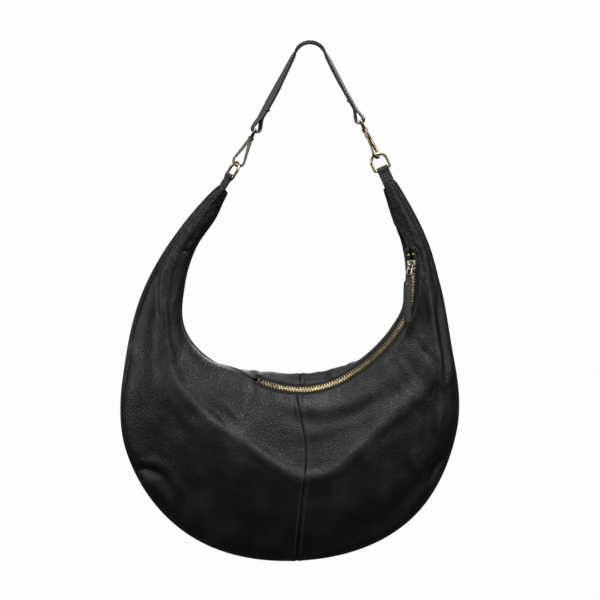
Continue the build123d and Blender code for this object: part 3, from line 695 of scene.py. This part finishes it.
# soft folds of the front: line in X and Z, height (below zero for a crease), half width
FRONT_FOLDS = (
    (((-154, -318), (-152, -338), (-142, -358), (-127, -378), (-110, -394), (-84, -410), (-60, -427),
      (-36, -444), (-10, -458), (12, -455), (31, -447), (58, -420), (80, -401), (112, -374)), 3.6, 6.5),
    (((128, -240), (132, -270), (137, -305), (141, -338), (141, -372)), 2.2, 3.6),
    (((146, -262), (152, -310), (153, -354)), 1.9, 3.4),
    (((139, -262), (144, -305), (148, -352)), -2.0, 3.4),
    (((-150, -208), (-160, -238), (-163, -262), (-158, -286), (-154, -316)), 2.2, 3.6),
    (((-164, -250), (-172, -290), (-174, -330), (-166, -366)), -1.8, 5.0),
    (((-140, -206), (-148, -236), (-150, -262)), -1.2, 3.5),
    (((-92, -378), (-78, -396), (-62, -412)), 1.6, 4.0),
    (((-104, -384), (-90, -404), (-72, -420)), -1.4, 4.0),
    (((-193, -453), (-179, -448)), -3.4, 3.2),
    (((-193, -455), (-176, -452), (-162, -457), (-149, -474)), -3.8, 3.6),
    (((-186, -466), (-170, -464), (-158, -474), (-150, -490)), 2.8, 5.5),
    (((-186, -444), (-168, -441), (-152, -450)), 2.2, 5.0),
    (((-166, -464), (-157, -472), (-150, -482)), -2.6, 7.0),
    (((-150, -455), (-138, -468), (-130, -486)), 1.6, 5.0),
    (((154, -449), (145, -443), (138, -452), (130, -466)), -3.4, 3.4),
    (((150, -458), (142, -462), (132, -476)), 2.4, 5.0),
    (((146, -447), (133, -462), (113, -485), (96, -504), (79, -516), (45, -529), (12, -536)), 1.7, 5.0),
    (((139, -440), (125, -459), (105, -480), (86, -497), (60, -511)), -1.7, 6.0),
    (((124, -420), (130, -396), (134, -362)), -2.2, 6.0),
    (((138, -424), (140, -398), (139, -372)), 1.6, 5.0),
    (((115, -455), (112, -436), (116, -416)), 1.8, 6.0),
    (((-20, -384), (12, -386), (42, -378), (62, -366)), 1.8, 7.0),
    (((-24, -396), (12, -400), (48, -392), (74, -374)), -1.4, 7.0),
    (((-150, -345), (-148, -372), (-135, -396), (-112, -408)), 1.6, 6.0),
    (((-160, -372), (-150, -398), (-128, -418)), -1.3, 7.0),
    (((-134, -300), (-140, -322), (-150, -346)), -1.2, 5.0),
    (((93, -173), (104, -193), (113, -219), (116, -234)), -1.7, 2.0),
    (((88, -178), (98, -200), (106, -222)), 1.0, 3.0),
    (((-129, -215), (-136, -212), (-141, -213)), -0.8, 3.0),
    (((-126, -256), (-137, -262), (-147, -276)), -1.0, 3.0),
    (((-115, -196), (-124, -200), (-133, -203)), -0.8, 2.5),
    (((112, -300), (121, -318), (136, -334)), -1.2, 4.0),
    (((96, -330), (108, -348), (120, -372)), 1.2, 5.0),
    (((60, -432), (90, -418), (118, -398)), 1.0, 9.0),
    (((-60, -420), (-88, -404), (-118, -396)), 0.9, 9.0),
)
# folds of the back, which nothing shows, laid out as the weight of the bag would make them
BACK_FOLDS = (
    (((-150, -420), (-120, -448), (-84, -462)), 1.8, 8.0),
    (((-158, -398), (-128, -430), (-90, -444)), -1.6, 7.0),
    (((146, -400), (112, -432), (70, -450)), 1.8, 8.0),
    (((150, -380), (118, -412), (80, -428)), -1.5, 7.0),
    (((-180, -452), (-164, -458), (-150, -474)), -2.2, 4.0),
    (((144, -444), (128, -462), (108, -484)), -1.6, 5.0),
    (((-60, -372), (-20, -384), (30, -380)), -1.2, 8.0),
    (((-140, -300), (-146, -326), (-152, -350)), -1.2, 5.0),
    (((118, -280), (126, -304), (136, -330)), -1.2, 5.0),
)


SEAM_ROLL = 0.45  # height of the swelling beside a centre seam, and its place and width
ROLL_AT = 3.2
ROLL_WIDTH = 2.2
SEAM_GROOVE = 0.45
GROOVE_WIDTH = 0.8
RIM_CHANNEL = 0.5  # stretched channel beside the rim seam, and its place and width
CHANNEL_AT = 5.5
CHANNEL_WIDTH = 1.6
BROAD_WAVE = 62.0  # sizes of the leather's own waviness
SMALL_WAVE = 24.0


def dress(grid, phi, radius, front):
    """Moves a panel's points along its normals for seams, folds, gathers and the leather's own waviness."""
    outward = grid_normals(grid)
    way = -1.0 if front else 1.0
    seed = 3 if front else 8
    outward = outward * (way * np.sign(np.mean(outward[..., 1])))
    inner, outer = np.moveaxis(through(OUTLINE, phi), -1, 0)
    zip_at = ZIP_RADIUS + through(ZIP_STRAY, phi)
    joint = joint_leaves_crest(phi)
    drift = seam_drift(phi, radius) if front else 0 * phi
    from_seam = np.abs(np.radians(phi - drift)) * radius
    from_rim = np.clip(outer - radius, 0, None)
    lip_at = zip_at - way * LIP_ACROSS * math.cos(ZIP_TILT) * mouth_opens(phi)
    from_edge = np.abs(radius - (inner + (lip_at - inner) * joint))
    calm = ease(0.5, 9, from_edge) * ease(0.5, 8, from_rim)
    move = SEAM_ROLL * bell(from_seam, ROLL_WIDTH, ROLL_AT) - SEAM_GROOVE * bell(from_seam, GROOVE_WIDTH)
    crests = np.zeros_like(phi)
    for line, height, width in FRONT_FOLDS if front else BACK_FOLDS:
        gap, along = line_distance(grid[..., [0, 2]], line)
        ends = np.clip(np.sin(np.pi * np.clip(along, 0.04, 0.96)), 0, 1) ** 0.5
        fold = height * ends * bell(gap, width)
        move = move + fold * calm
        crests = crests + np.clip(fold, 0, None)
    broad = noise_field(grid, BROAD_WAVE, seed)
    small = noise_field(grid, SMALL_WAVE, seed + 1)
    width = ease(14, 110, outer - inner)
    along_arc = np.radians(phi) * radius
    move = move + calm * (2.4 * width * broad + (0.25 + 0.85 * width) * small)
    # long soft folds that run round the arc, strongest in the horns
    fold_place = np.stack([along_arc / 46, radius / 9.5, np.zeros_like(phi)], axis=-1)
    move = move + calm * (1.35 - 0.9 * width) * noise_field(fold_place, 1.0, seed + 2)
    # gathers that run out from the lips
    gather_place = np.stack([along_arc / 8.5, radius / 40, np.zeros_like(phi)], axis=-1)
    near_lip = np.exp(-from_edge / 16) * ease(0.2, 3, from_edge)
    gathers = noise_field(gather_place, 1.0, seed + 3) * near_lip
    move = move + gathers * (0.35 + (0.35 if front else 1.2) * joint)
    move = move - RIM_CHANNEL * bell(from_rim, CHANNEL_WIDTH, CHANNEL_AT)
    # paler: a painted highlight along the fold crests, and paler near the lips' edges, the rim seam and
    # where the small waves swell out
    wear_and_highlight = 0.045 * crests**2 + 0.5 * np.exp(-from_edge / 1.6) + 0.35 * np.exp(-from_rim / 2.0)
    wear_and_highlight = wear_and_highlight + 0.25 * np.clip(small, 0, 1)
    return grid + outward * move[..., None], np.clip(wear_and_highlight, 0, 1), outward


def dressed_panel(half, side):
    """Finished grid of one panel, with the wear, the outward direction and the angle of each point."""
    front = half == "front"
    controls, steps = (front_controls, FRONT_STEPS) if front else (back_controls, BACK_STEPS)
    grid, phi, radius = panel_grid(side, controls, steps)
    # Finished grid of one panel, with its paleness from wear and painted highlight, the outward direction
    # and the angle of each point.
    return *dress(grid, phi, radius, front), phi


def leather_panel(half, side):
    """One of the four leather panels, thickened inward."""
    grid, wear_and_highlight, outward, _ = dressed_panel(half, side)
    piece = new_piece(f"{half}_leather_{side}", grid, outward_faces(grid, outward), "bag", BAG_LEATHER,
                      [f"{half}_panel_{side}"])
    paint_wear_and_highlight(piece, wear_and_highlight)
    thicken(piece, PANEL_THICKNESS)
    return piece


PANELS = {}
for HALF in ("front", "back"):
    for SIDE in SIDES:
        PANELS[HALF, SIDE] = leather_panel(HALF, SIDE)


# ---------- camera, light and floor
def look_at(item, target):
    """Turns a camera or light to face a point, in metres."""
    item.rotation_euler = (Vector(target) - item.location).to_track_quat("-Z", "Y").to_euler()


def area_light(name, place, size, power):
    """Soft square light that faces the bag."""
    light = bpy.data.lights.new(name, "AREA")
    light.shape = "SQUARE"
    light.size = size
    light.energy = power
    lamp = in_scene(name, light)
    lamp.location = place
    look_at(lamp, LIT_PLACE)


def surroundings():
    """Dim light from all round, brighter from above, with a plain pale backdrop for the camera."""
    world = bpy.data.worlds.new("studio")
    bpy.context.scene.world = world
    world.use_nodes = True
    tree = world.node_tree
    tree.nodes.clear()
    place = tree.nodes.new("ShaderNodeTexCoord")
    split = tree.nodes.new("ShaderNodeSeparateXYZ")
    tree.links.new(place.outputs["Generated"], split.inputs[0])
    height = maths(tree, "MULTIPLY_ADD", split.outputs["Z"], 0.5)
    height.node.inputs[2].default_value = 0.5
    light = node(tree, "ShaderNodeBackground", Strength=SURROUNDINGS_LIGHT)
    tree.links.new(ramp(tree, height, SURROUNDINGS), light.inputs["Color"])
    plain = node(tree, "ShaderNodeBackground", Color=BACKDROP)
    rays = tree.nodes.new("ShaderNodeLightPath")
    chooser = tree.nodes.new("ShaderNodeMixShader")
    output = tree.nodes.new("ShaderNodeOutputWorld")
    tree.links.new(rays.outputs["Is Camera Ray"], chooser.inputs[0])
    tree.links.new(light.outputs[0], chooser.inputs[1])
    tree.links.new(plain.outputs[0], chooser.inputs[2])
    tree.links.new(chooser.outputs[0], output.inputs["Surface"])


def pale_floor():
    """Round painted floor below the bag, left out of reflections."""
    material, tree, shader, place = material_base("floor_paint")
    shader.inputs["Roughness"].default_value = 0.7
    cloud = noise_node(tree, place, 160.0)
    paint = ramp(tree, cloud, ((0.3, (0.80, 0.80, 0.79)), (0.7, (0.84, 0.84, 0.83))))
    feed(tree, shader.inputs["Base Color"], paint)
    angles = [2 * math.pi * i / FLOOR_SIDES for i in range(FLOOR_SIDES)]
    rim = [(FLOOR_RADIUS * math.cos(a), FLOOR_RADIUS * math.sin(a), FLOOR_HEIGHT) for a in angles]
    mesh = bpy.data.meshes.new("floor")
    mesh.from_pydata(rim, [], [list(range(FLOOR_SIDES))])
    mesh.materials.append(material)
    floor = in_scene("floor", mesh)
    floor.visible_glossy = False


def level_camera():
    """Camera square to the bag's front."""
    lens = bpy.data.cameras.new("camera")
    lens.sensor_width = SENSOR_WIDTH
    lens.lens = LENS
    camera = in_scene("camera", lens)
    camera.location = CAMERA_PLACE
    look_at(camera, CAMERA_AIM)
    bpy.context.scene.camera = camera


for LIGHT in LIGHTS:
    area_light(*LIGHT)
surroundings()
pale_floor()
level_camera()
bpy.context.scene.view_settings.view_transform = "Standard"


# ---------- lining
def lining_cloth(half):
    """Cloth lining of one half, a little inside the leather, short of the horns' tips."""
    pile = Pile()
    for side in SIDES:
        grid, _, outward, phi = dressed_panel(half, side)
        keep = np.abs(phi[:, 0]) < LINING_END
        sunk = (grid - outward * LINING_DEPTH)[keep][::3, 3:-2:3]
        pile.add(sunk, outward_faces(sunk, outward[keep][::3, 3:-2:3]))
    piece = pile.piece(f"{half}_lining_cloth", "bag", LINING, "lining", [f"lining_{half}"])
    thicken(piece, LINING_THICKNESS)


for HALF in ("front", "back"):
    lining_cloth(HALF)


# ---------- stitches
def stitch(pile, place, along, out, length, width):
    """One raised thread stitch, pinched where it goes into the leather at each end."""
    side = unit(np.cross(out, along))
    rings = []
    for t, scale in ((-1, 0.25), (-0.62, 0.85), (0, 1.0), (0.62, 0.85), (1, 0.25)):
        middle = place + along * (t * length / 2) + out * (0.16 - 0.34 * t * t) * width
        for step in range(6):
            angle = math.tau * step / 6
            rings.append(middle + (side * math.cos(angle) + out * math.sin(angle)) * width * scale / 2)
    pile.add(rings, tube_faces(5, 6))


def sew(pile, points, outs, pitch, length=2.3, width=0.62):
    """Stitches at an even pitch along a line of points with their outward directions."""
    outs = np.broadcast_to(outs, points.shape)
    steps = np.linalg.norm(np.diff(points, axis=0), axis=1)
    run = np.concatenate([[0], np.cumsum(steps)])
    for at in np.arange(pitch, run[-1] - pitch / 2, pitch):
        place, ahead, out = (
            np.array([np.interp(where, run, values[:, i]) for i in range(3)])
            for where, values in ((at, points), (at + 0.6, points), (at, outs))
        )
        stitch(pile, place, unit(ahead - place), unit(out), length, width)


def leather_tree(halves):
    """Search tree over leather panels, for finding the surface under a line of stitches."""
    points = []
    faces = []
    for (half, _), piece in PANELS.items():
        if half in halves:
            start = len(points)
            points.extend([v.co.copy() for v in piece.data.vertices])
            faces.extend([[start + i for i in f.vertices] for f in piece.data.polygons])
    return BVHTree.FromPolygons(points, faces)


def on_leather(tree, places, way):
    """Where lines of sight through (X, Z) places meet the leather, from the front (way 1) or back (-1)."""
    points = []
    outs = []
    sight = Vector((0, way, 0))
    for x, z in places:
        hit, normal, _, _ = tree.ray_cast(Vector((x * MM, -way * 0.2, z * MM)), sight)
        if hit is not None:
            points.append(np.array(hit) / MM)
            outs.append(np.array(normal if normal.dot(sight) < 0 else -normal))
    return np.array(points), np.array(outs)


def polar_line(phi, radius):
    """(X, Z) places of a line given by angles and radii round the arc."""
    return arc_point(phi, radius, np.zeros_like(radius))[:, [0, 2]]


def bag_stitching():
    """Topstitching of the centre seams, the lips and the horns' ends."""
    front_tree = leather_tree(("front",))
    all_tree = leather_tree(("front", "back"))
    pile = Pile()
    for offset in (-SEAM_STITCH, SEAM_STITCH):
        radius = np.linspace(135, 306, 120)
        phi = through(FRONT_SEAM, radius) + np.degrees(offset / radius)
        sew(pile, *on_leather(front_tree, polar_line(phi, radius), 1), STITCH_PITCH)
        radius = np.linspace(112, 306, 120)
        phi = np.degrees(offset / radius)
        sew(pile, *on_leather(all_tree, polar_line(phi, radius), -1), STITCH_PITCH)
    phi = np.linspace(ZIP_START + 1, MOUTH_END - 1, 200)
    zip_at = ZIP_RADIUS + through(ZIP_STRAY, phi)
    reach = LIP_ACROSS * math.cos(ZIP_TILT)
    sew(pile, *on_leather(front_tree, polar_line(phi, zip_at + reach + LIP_STITCH), 1), STITCH_PITCH)
    for side in SIDES:
        end = HORN_END[side] * 0.955
        inner, outer = through(OUTLINE, np.array([end]))[0]
        radius = np.linspace(inner + 2, outer - 2, 30)
        for way in (1, -1):
            sew(pile, *on_leather(all_tree, polar_line(np.full_like(radius, end), radius), way), 2.6)
    pile.piece("bag_topstitching", "bag", THREAD, "bag_leather")


bag_stitching()


# ---------- zip
def zip_frames(phi):
    """Places on the zip's line and its directions along, across to the back lip, and out of its face."""
    phi = np.asarray(phi, float)
    place = arc_point(phi, ZIP_RADIUS + through(ZIP_STRAY, phi), np.full_like(phi, ZIP_Y))
    out = radial(phi)
    turn = np.radians(phi)
    along = in_plane(np.cos(turn), np.sin(turn))
    across = -out * math.cos(ZIP_TILT) + Y_AXIS * math.sin(ZIP_TILT)
    face = -out * math.sin(ZIP_TILT) - Y_AXIS * math.cos(ZIP_TILT)
    return place, along, across, face


# rings of one tooth from the tape's edge to its tip: across, half length along, half height
TOOTH_RINGS = ((3.2, 0.40, 0.62), (3.05, 0.56, 0.92), (2.1, 0.52, 0.98), (1.1, 0.42, 0.86),
               (0.3, 0.58, 0.90), (-0.5, 0.54, 0.78), (-0.8, 0.34, 0.50))


def zip_row(half, way, first):
    """Row of cast teeth along one tape."""
    pitch = math.degrees(TOOTH_PITCH / ZIP_RADIUS)
    angles = np.arange(first, SLIDER_AT - 0.8, pitch)
    pile = Pile()
    for place, along, across, face in zip(*zip_frames(angles)):
        rings = []
        for reach, half_length, half_height in TOOTH_RINGS:
            outline = rounded_section(half_length, half_height, 0.3, points=1)
            middle = place + across * way * reach
            rings.extend(middle + along * x * way + face * z for x, z in outline)
        pile.add(rings, tube_faces(len(TOOTH_RINGS), 8))
    pile.piece(f"zip_teeth_cast_{half}", "bag", ZIP_BRASS, "zip_brass", [f"zip_teeth_{half}"], smooth=False)


def zip_cloth(half, way):
    """Woven tape from the teeth out under the lip, with the bead that the teeth clamp."""
    angles = np.linspace(ZIP_START - 1.5, MOUTH_END + 1.5, 220)
    place, along, across, face = zip_frames(angles)
    pile = Pile()
    across = across * way
    for (at, half_width, half_height), corner in ((TAPE_SECTION, 0.25), (BEAD_SECTION, 0.65)):
        section = rounded_section(half_width, half_height, corner)
        strip = ribbon_points(place + across * at, across, face, section)
        pile.add(strip, tube_faces(len(angles), len(section)))
    pile.piece(f"zip_tape_cloth_{half}", "bag", TAPE, "zip_tape", [f"zip_tape_{half}"])


TEETH_FROM = ZIP_START + 2.4
HALF_PITCH = math.degrees(TOOTH_PITCH / ZIP_RADIUS) / 2
for HALF, WAY in (("front", -1.0), ("back", 1.0)):
    zip_cloth(HALF, WAY)
    zip_row(HALF, WAY, TEETH_FROM + (HALF_PITCH if WAY > 0 else 0))


# ---------- strap
def lean_directions(side, lean):
    """Unit vectors down a leaning line and square to it, outward and up."""
    angle = math.radians(lean)
    down = in_plane(SIGN[side] * math.sin(angle), -math.cos(angle))
    return down, in_plane(SIGN[side] * math.cos(angle), math.sin(angle))


def strap_run(side, station):
    """Places between the strap's layers down one side, with their outward and across directions."""
    down, outward = lean_directions(side, STRAP_LEAN[side])
    run = STRAP_RUN[side]
    turn = np.radians(through(STRAP_TURN[side], station / run) * ease(-3, 9, station))
    up = outward * np.cos(turn)[:, None] - Y_AXIS * np.sin(turn)[:, None]
    across = Y_AXIS * np.cos(turn)[:, None] + outward * np.sin(turn)[:, None]
    bow = outward * (np.sin(np.pi * np.clip(station / run, 0, 1)) * -STRAP_BOW)[:, None]
    return outward * (SADDLE_RADIUS + LEATHER) + down * station[:, None] + bow, up, across


def saddle_arc():
    """The strap's places over the peg, from the left run to the right."""
    start = math.pi - math.radians(STRAP_LEAN["left"])
    end = math.radians(STRAP_LEAN["right"])
    angle = np.linspace(start, end, 40)[1:-1]
    up = in_plane(np.cos(angle), np.sin(angle))
    across = np.repeat(Y_AXIS[None], len(angle), axis=0)
    return up * (SADDLE_RADIUS + LEATHER), up, across


def strap_side(side, with_tails):
    """The strap's places down one side and, for the outer layer, round the eye and back up its tail."""
    run = STRAP_RUN[side]
    if not with_tails:
        place, up, across = strap_run(side, np.linspace(0, run - TAIL_LENGTH + 4, 60))
        return place - up * LAYER_MIDDLE, up, across
    bottom = run - STRAP_LOOP + LOOP_DROP
    station = np.linspace(0, bottom, 80)
    place, up, across = strap_run(side, station)
    spread = ease(bottom - LOOP_LENGTH, bottom, station)
    middle = place + up * (LAYER_MIDDLE + (STRAP_LOOP - LOOP_BACK - LAYER_MIDDLE) * spread)[:, None]
    turn_place, turn_up, turn_across = strap_run(side, np.full(14, bottom))
    centre = turn_place - turn_up * LOOP_BACK
    angle = np.linspace(0, math.pi, 16)[1:-1, None]
    down, _ = lean_directions(side, STRAP_LEAN[side])
    loop_up = turn_up * np.cos(angle) + down * np.sin(angle)
    tail_station = np.linspace(bottom, run - TAIL_LENGTH, 34)
    tail_place, tail_up, tail_across = strap_run(side, tail_station)
    spread = ease(bottom - LOOP_LENGTH, bottom, tail_station)
    flare = TAIL_FLARE * ease(run - TAIL_LENGTH + 5, run - TAIL_LENGTH, tail_station)
    behind = TAIL_MIDDLE + flare + (STRAP_LOOP + LOOP_BACK - TAIL_MIDDLE) * spread
    tail = tail_place - tail_up * behind[:, None]
    return (
        np.concatenate([middle, centre + loop_up * STRAP_LOOP, tail]),
        np.concatenate([up, loop_up, -tail_up]),
        np.concatenate([across, turn_across, tail_across]),
    )


def strap_line(with_tails):
    """The whole of one layer from the left end, over the peg, to the right end."""
    left = [part[::-1] for part in strap_side("left", with_tails)]
    place, up, across = saddle_arc()
    over = (place + up * (LAYER_MIDDLE if with_tails else -LAYER_MIDDLE), up, across)
    return [np.concatenate(group) for group in zip(left, over, strap_side("right", with_tails))]


def strap_piece(name, with_tails, node_name):
    """One leather layer of the strap."""
    middle, up, across = strap_line(with_tails)
    section = rounded_section(STRAP_WIDTH / 2, LEATHER / 2, 0.55)
    points = ribbon_points(middle, across, up, section)
    points = points + noise_field(points, 11.0, 12)[..., None] * up[:, None] * 0.18
    faces = tube_faces(len(middle), len(section))
    piece = new_piece(name, points, faces, "strap", STRAP_LEATHER, [node_name])
    wear_and_highlight = np.where(np.abs(section[:, 0]) > STRAP_WIDTH / 2 - 1.0, EDGE_WEAR, STRAP_FACE_WEAR)
    paint_wear_and_highlight(piece, np.tile(wear_and_highlight, len(middle)))
    piece.data.materials.append(EDGE)
    count = len(section)
    on_edge = np.abs(section[:, 0] + np.roll(section[:, 0], -1)) > STRAP_WIDTH - 0.3
    for face in piece.data.polygons[:(len(middle) - 1) * count]:
        face.material_index = int(on_edge[face.index % count])


def edge_rows(pile, place, up, across):
    """Stitches along both edges of the strap's outer face."""
    for edge in (-1, 1):
        sew(pile, place + up * LEATHER + across * edge * STITCH_INSET, up, STITCH_PITCH)


def strap_stitching():
    """Two rows along the strap's outer face and rows across the end of each tail."""
    pile = Pile()
    for side in SIDES:
        run = STRAP_RUN[side]
        edge_rows(pile, *strap_run(side, np.linspace(0, run - LOOP_LENGTH - 2, 160)))
        for at in (run - TAIL_LENGTH + 3.0, run - LOOP_LENGTH - 1.0):
            place, up, across = strap_run(side, np.full(20, at))
            line = place + across * np.linspace(-6, 6, 20)[:, None]
            sew(pile, line + up * LEATHER, up, 2.6, 2.0)
            sew(pile, line - up * (LEATHER + 0.1), -up, 2.6, 2.0)
    edge_rows(pile, *saddle_arc())
    pile.piece("strap_stitching", "strap", THREAD, "strap_leather")


strap_piece("strap_face_leather", True, "strap_outer")
strap_piece("strap_back_leather", False, "strap_backing")
strap_stitching()


# ---------- folded tabs
def folded_tab(name, bar_at, up, along, loop_radius, width, drop, thickness, body, nodes=()):
    """Strip folded over a bar, its two legs closing together below; tells which way its face looks."""
    normal = unit(np.cross(along, up))
    height = np.linspace(-drop, 0, 26)[:-1]
    gap = thickness / 2 + 0.05
    spread = gap + (loop_radius - gap) * (1 - ease(0, loop_radius * 2.4, -height))
    angle = np.linspace(math.pi, 0, 18)
    outline = np.concatenate([
        np.stack([-spread, height], axis=-1),
        np.stack([loop_radius * np.cos(angle), loop_radius * np.sin(angle)], axis=-1),
        np.stack([spread, height], axis=-1)[::-1],
    ])
    path = np.array(bar_at) + normal * outline[:, :1] + up * outline[:, 1:]
    side = np.repeat(along[None], len(path), axis=0)
    out = np.cross(unit(np.gradient(path, axis=0)), side)
    section = rounded_section(width / 2, thickness / 2, thickness * 0.35)
    points = ribbon_points(path, side, out, section)
    faces = tube_faces(len(path), len(section))
    piece = new_piece(name, points, faces, body, TAB_LEATHER, nodes)
    wear_and_highlight = np.where(np.abs(section[:, 0]) > width / 2 - 0.8, EDGE_WEAR, FACE_WEAR)
    paint_wear_and_highlight(piece, np.tile(wear_and_highlight, len(path)))
    return normal


def ring_tab(side):
    """Leather tab over one ring's bar, stitched across under the bar and down both edges."""
    down, _ = lean_directions(side, TAB_LEAN[side])
    up = -down
    bar = np.array(RING_BAR_ALONG[side])
    bar = unit(bar - up * (bar @ up))
    hold = RING_WIRE + 0.12 + LEATHER / 2
    normal = folded_tab(f"{side}_tab_leather", RING_BAR[side], up, bar, hold, TAB_WIDTH, TAB_DROP, LEATHER,
                        "bag", [f"{side}_ring_tab"])
    pile = Pile()
    for face in (-1, 1):
        out = normal * face
        at = np.array(RING_BAR[side]) + out * (LEATHER + 0.05)
        across = at - up * 6.0 + bar * np.linspace(-5, 5, 20)[:, None]
        sew(pile, across, out, 2.5, 1.9)
        for edge in (-1, 1):
            line = at + bar * edge * 4.8 - up * np.linspace(6.0, TAB_DROP - 3, 20)[:, None]
            sew(pile, line, out, 2.8, 1.9)
    pile.piece(f"{side}_tab_stitching", "bag", THREAD, "bag_leather")


for SIDE in SIDES:
    ring_tab(SIDE)


# ---------- puller
def puller():
    """Two-ply leather puller: a neck folded over the link, and a strip with rounded corners."""
    _, along, _, face = (v[0] for v in zip_frames([SLIDER_AT]))
    lift = math.radians(PULL_LIFT)
    up = along * math.cos(lift) - face * math.sin(lift)
    out = along * math.sin(lift) + face * math.cos(lift)
    across = np.cross(up, out)
    folded_tab("puller_neck", PULL_PIVOT, up, across, 1.55, 4.2, 7.0, 1.1, "puller")
    drop = np.concatenate([
        np.linspace(3.4, 9, 14),
        np.linspace(10, PULL_LENGTH - 3, 40),
        PULL_LENGTH - PULL_CORNER * (1 - np.sin(np.linspace(0.1, math.pi / 2, 10))),
    ])
    half = NECK_HALF_WIDTH + (PULL_WIDTH / 2 - NECK_HALF_WIDTH) * ease(3.4, 8.6, drop)
    from_end = np.clip(PULL_LENGTH - drop, 0, PULL_CORNER)
    half = half - PULL_CORNER * (1 - np.sqrt(np.clip(1 - (1 - from_end / PULL_CORNER) ** 2, 0, 1)))
    curl = 0.9 * np.sin(drop / PULL_LENGTH * math.pi) - 1.2 * (drop / PULL_LENGTH) ** 3
    middle = np.array(PULL_PIVOT) - up * drop[:, None] + out * curl[:, None]
    points = []
    for place, width in zip(middle, half):
        section = rounded_section(width, PULL_THICKNESS / 2, 0.5)
        points.append(place + across * section[:, :1] + out * section[:, 1:])
    points = np.array(points)
    faces = tube_faces(*points.shape[:2])
    piece = new_piece("puller_strip", points, faces, "puller", TAB_LEATHER, ["pull_tab"])
    rim = np.abs((points - middle[:, None]) @ across) > half[:, None] - 0.5
    paint_wear_and_highlight(piece, np.where(rim, EDGE_WEAR, FACE_WEAR))
    pile = Pile()
    body = (drop > 11) & (drop < PULL_LENGTH - 2)
    for way in (-1, 1):
        for edge in (-1, 1):
            line = middle[body] + across * edge * (PULL_WIDTH / 2 - 1.3) + out * way * PULL_THICKNESS / 2
            sew(pile, line, out * way, 2.6, 1.9, 0.5)
    pile.piece("puller_stitching", "puller", THREAD, "bag_leather")


puller()


# ---------- finishes of the metal parts
FINISHES = {
    "zip_slider": PEWTER, "pull_link": PEWTER, "pull_rivet": STOP_BRASS,
    "zip_top_stops": ZIP_BRASS, "zip_bottom_stop": STOP_BRASS,
}
for SIDE, PLATE in (("left", PEWTER), ("right", BRASS)):
    for PART in ("hook_frame", "gate", "swivel_eye", "swivel_post"):
        FINISHES[f"{SIDE}_{PART}"] = PLATE
    FINISHES[f"{SIDE}_dee_ring"] = RING_BRASS
    FINISHES[f"{SIDE}_gate_pin"] = STEEL
    FINISHES[f"{SIDE}_gate_spring"] = STEEL
for NAME, FINISH in FINISHES.items():
    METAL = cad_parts[NAME]
    METAL.data.materials.clear()
    METAL.data.materials.append(FINISH)
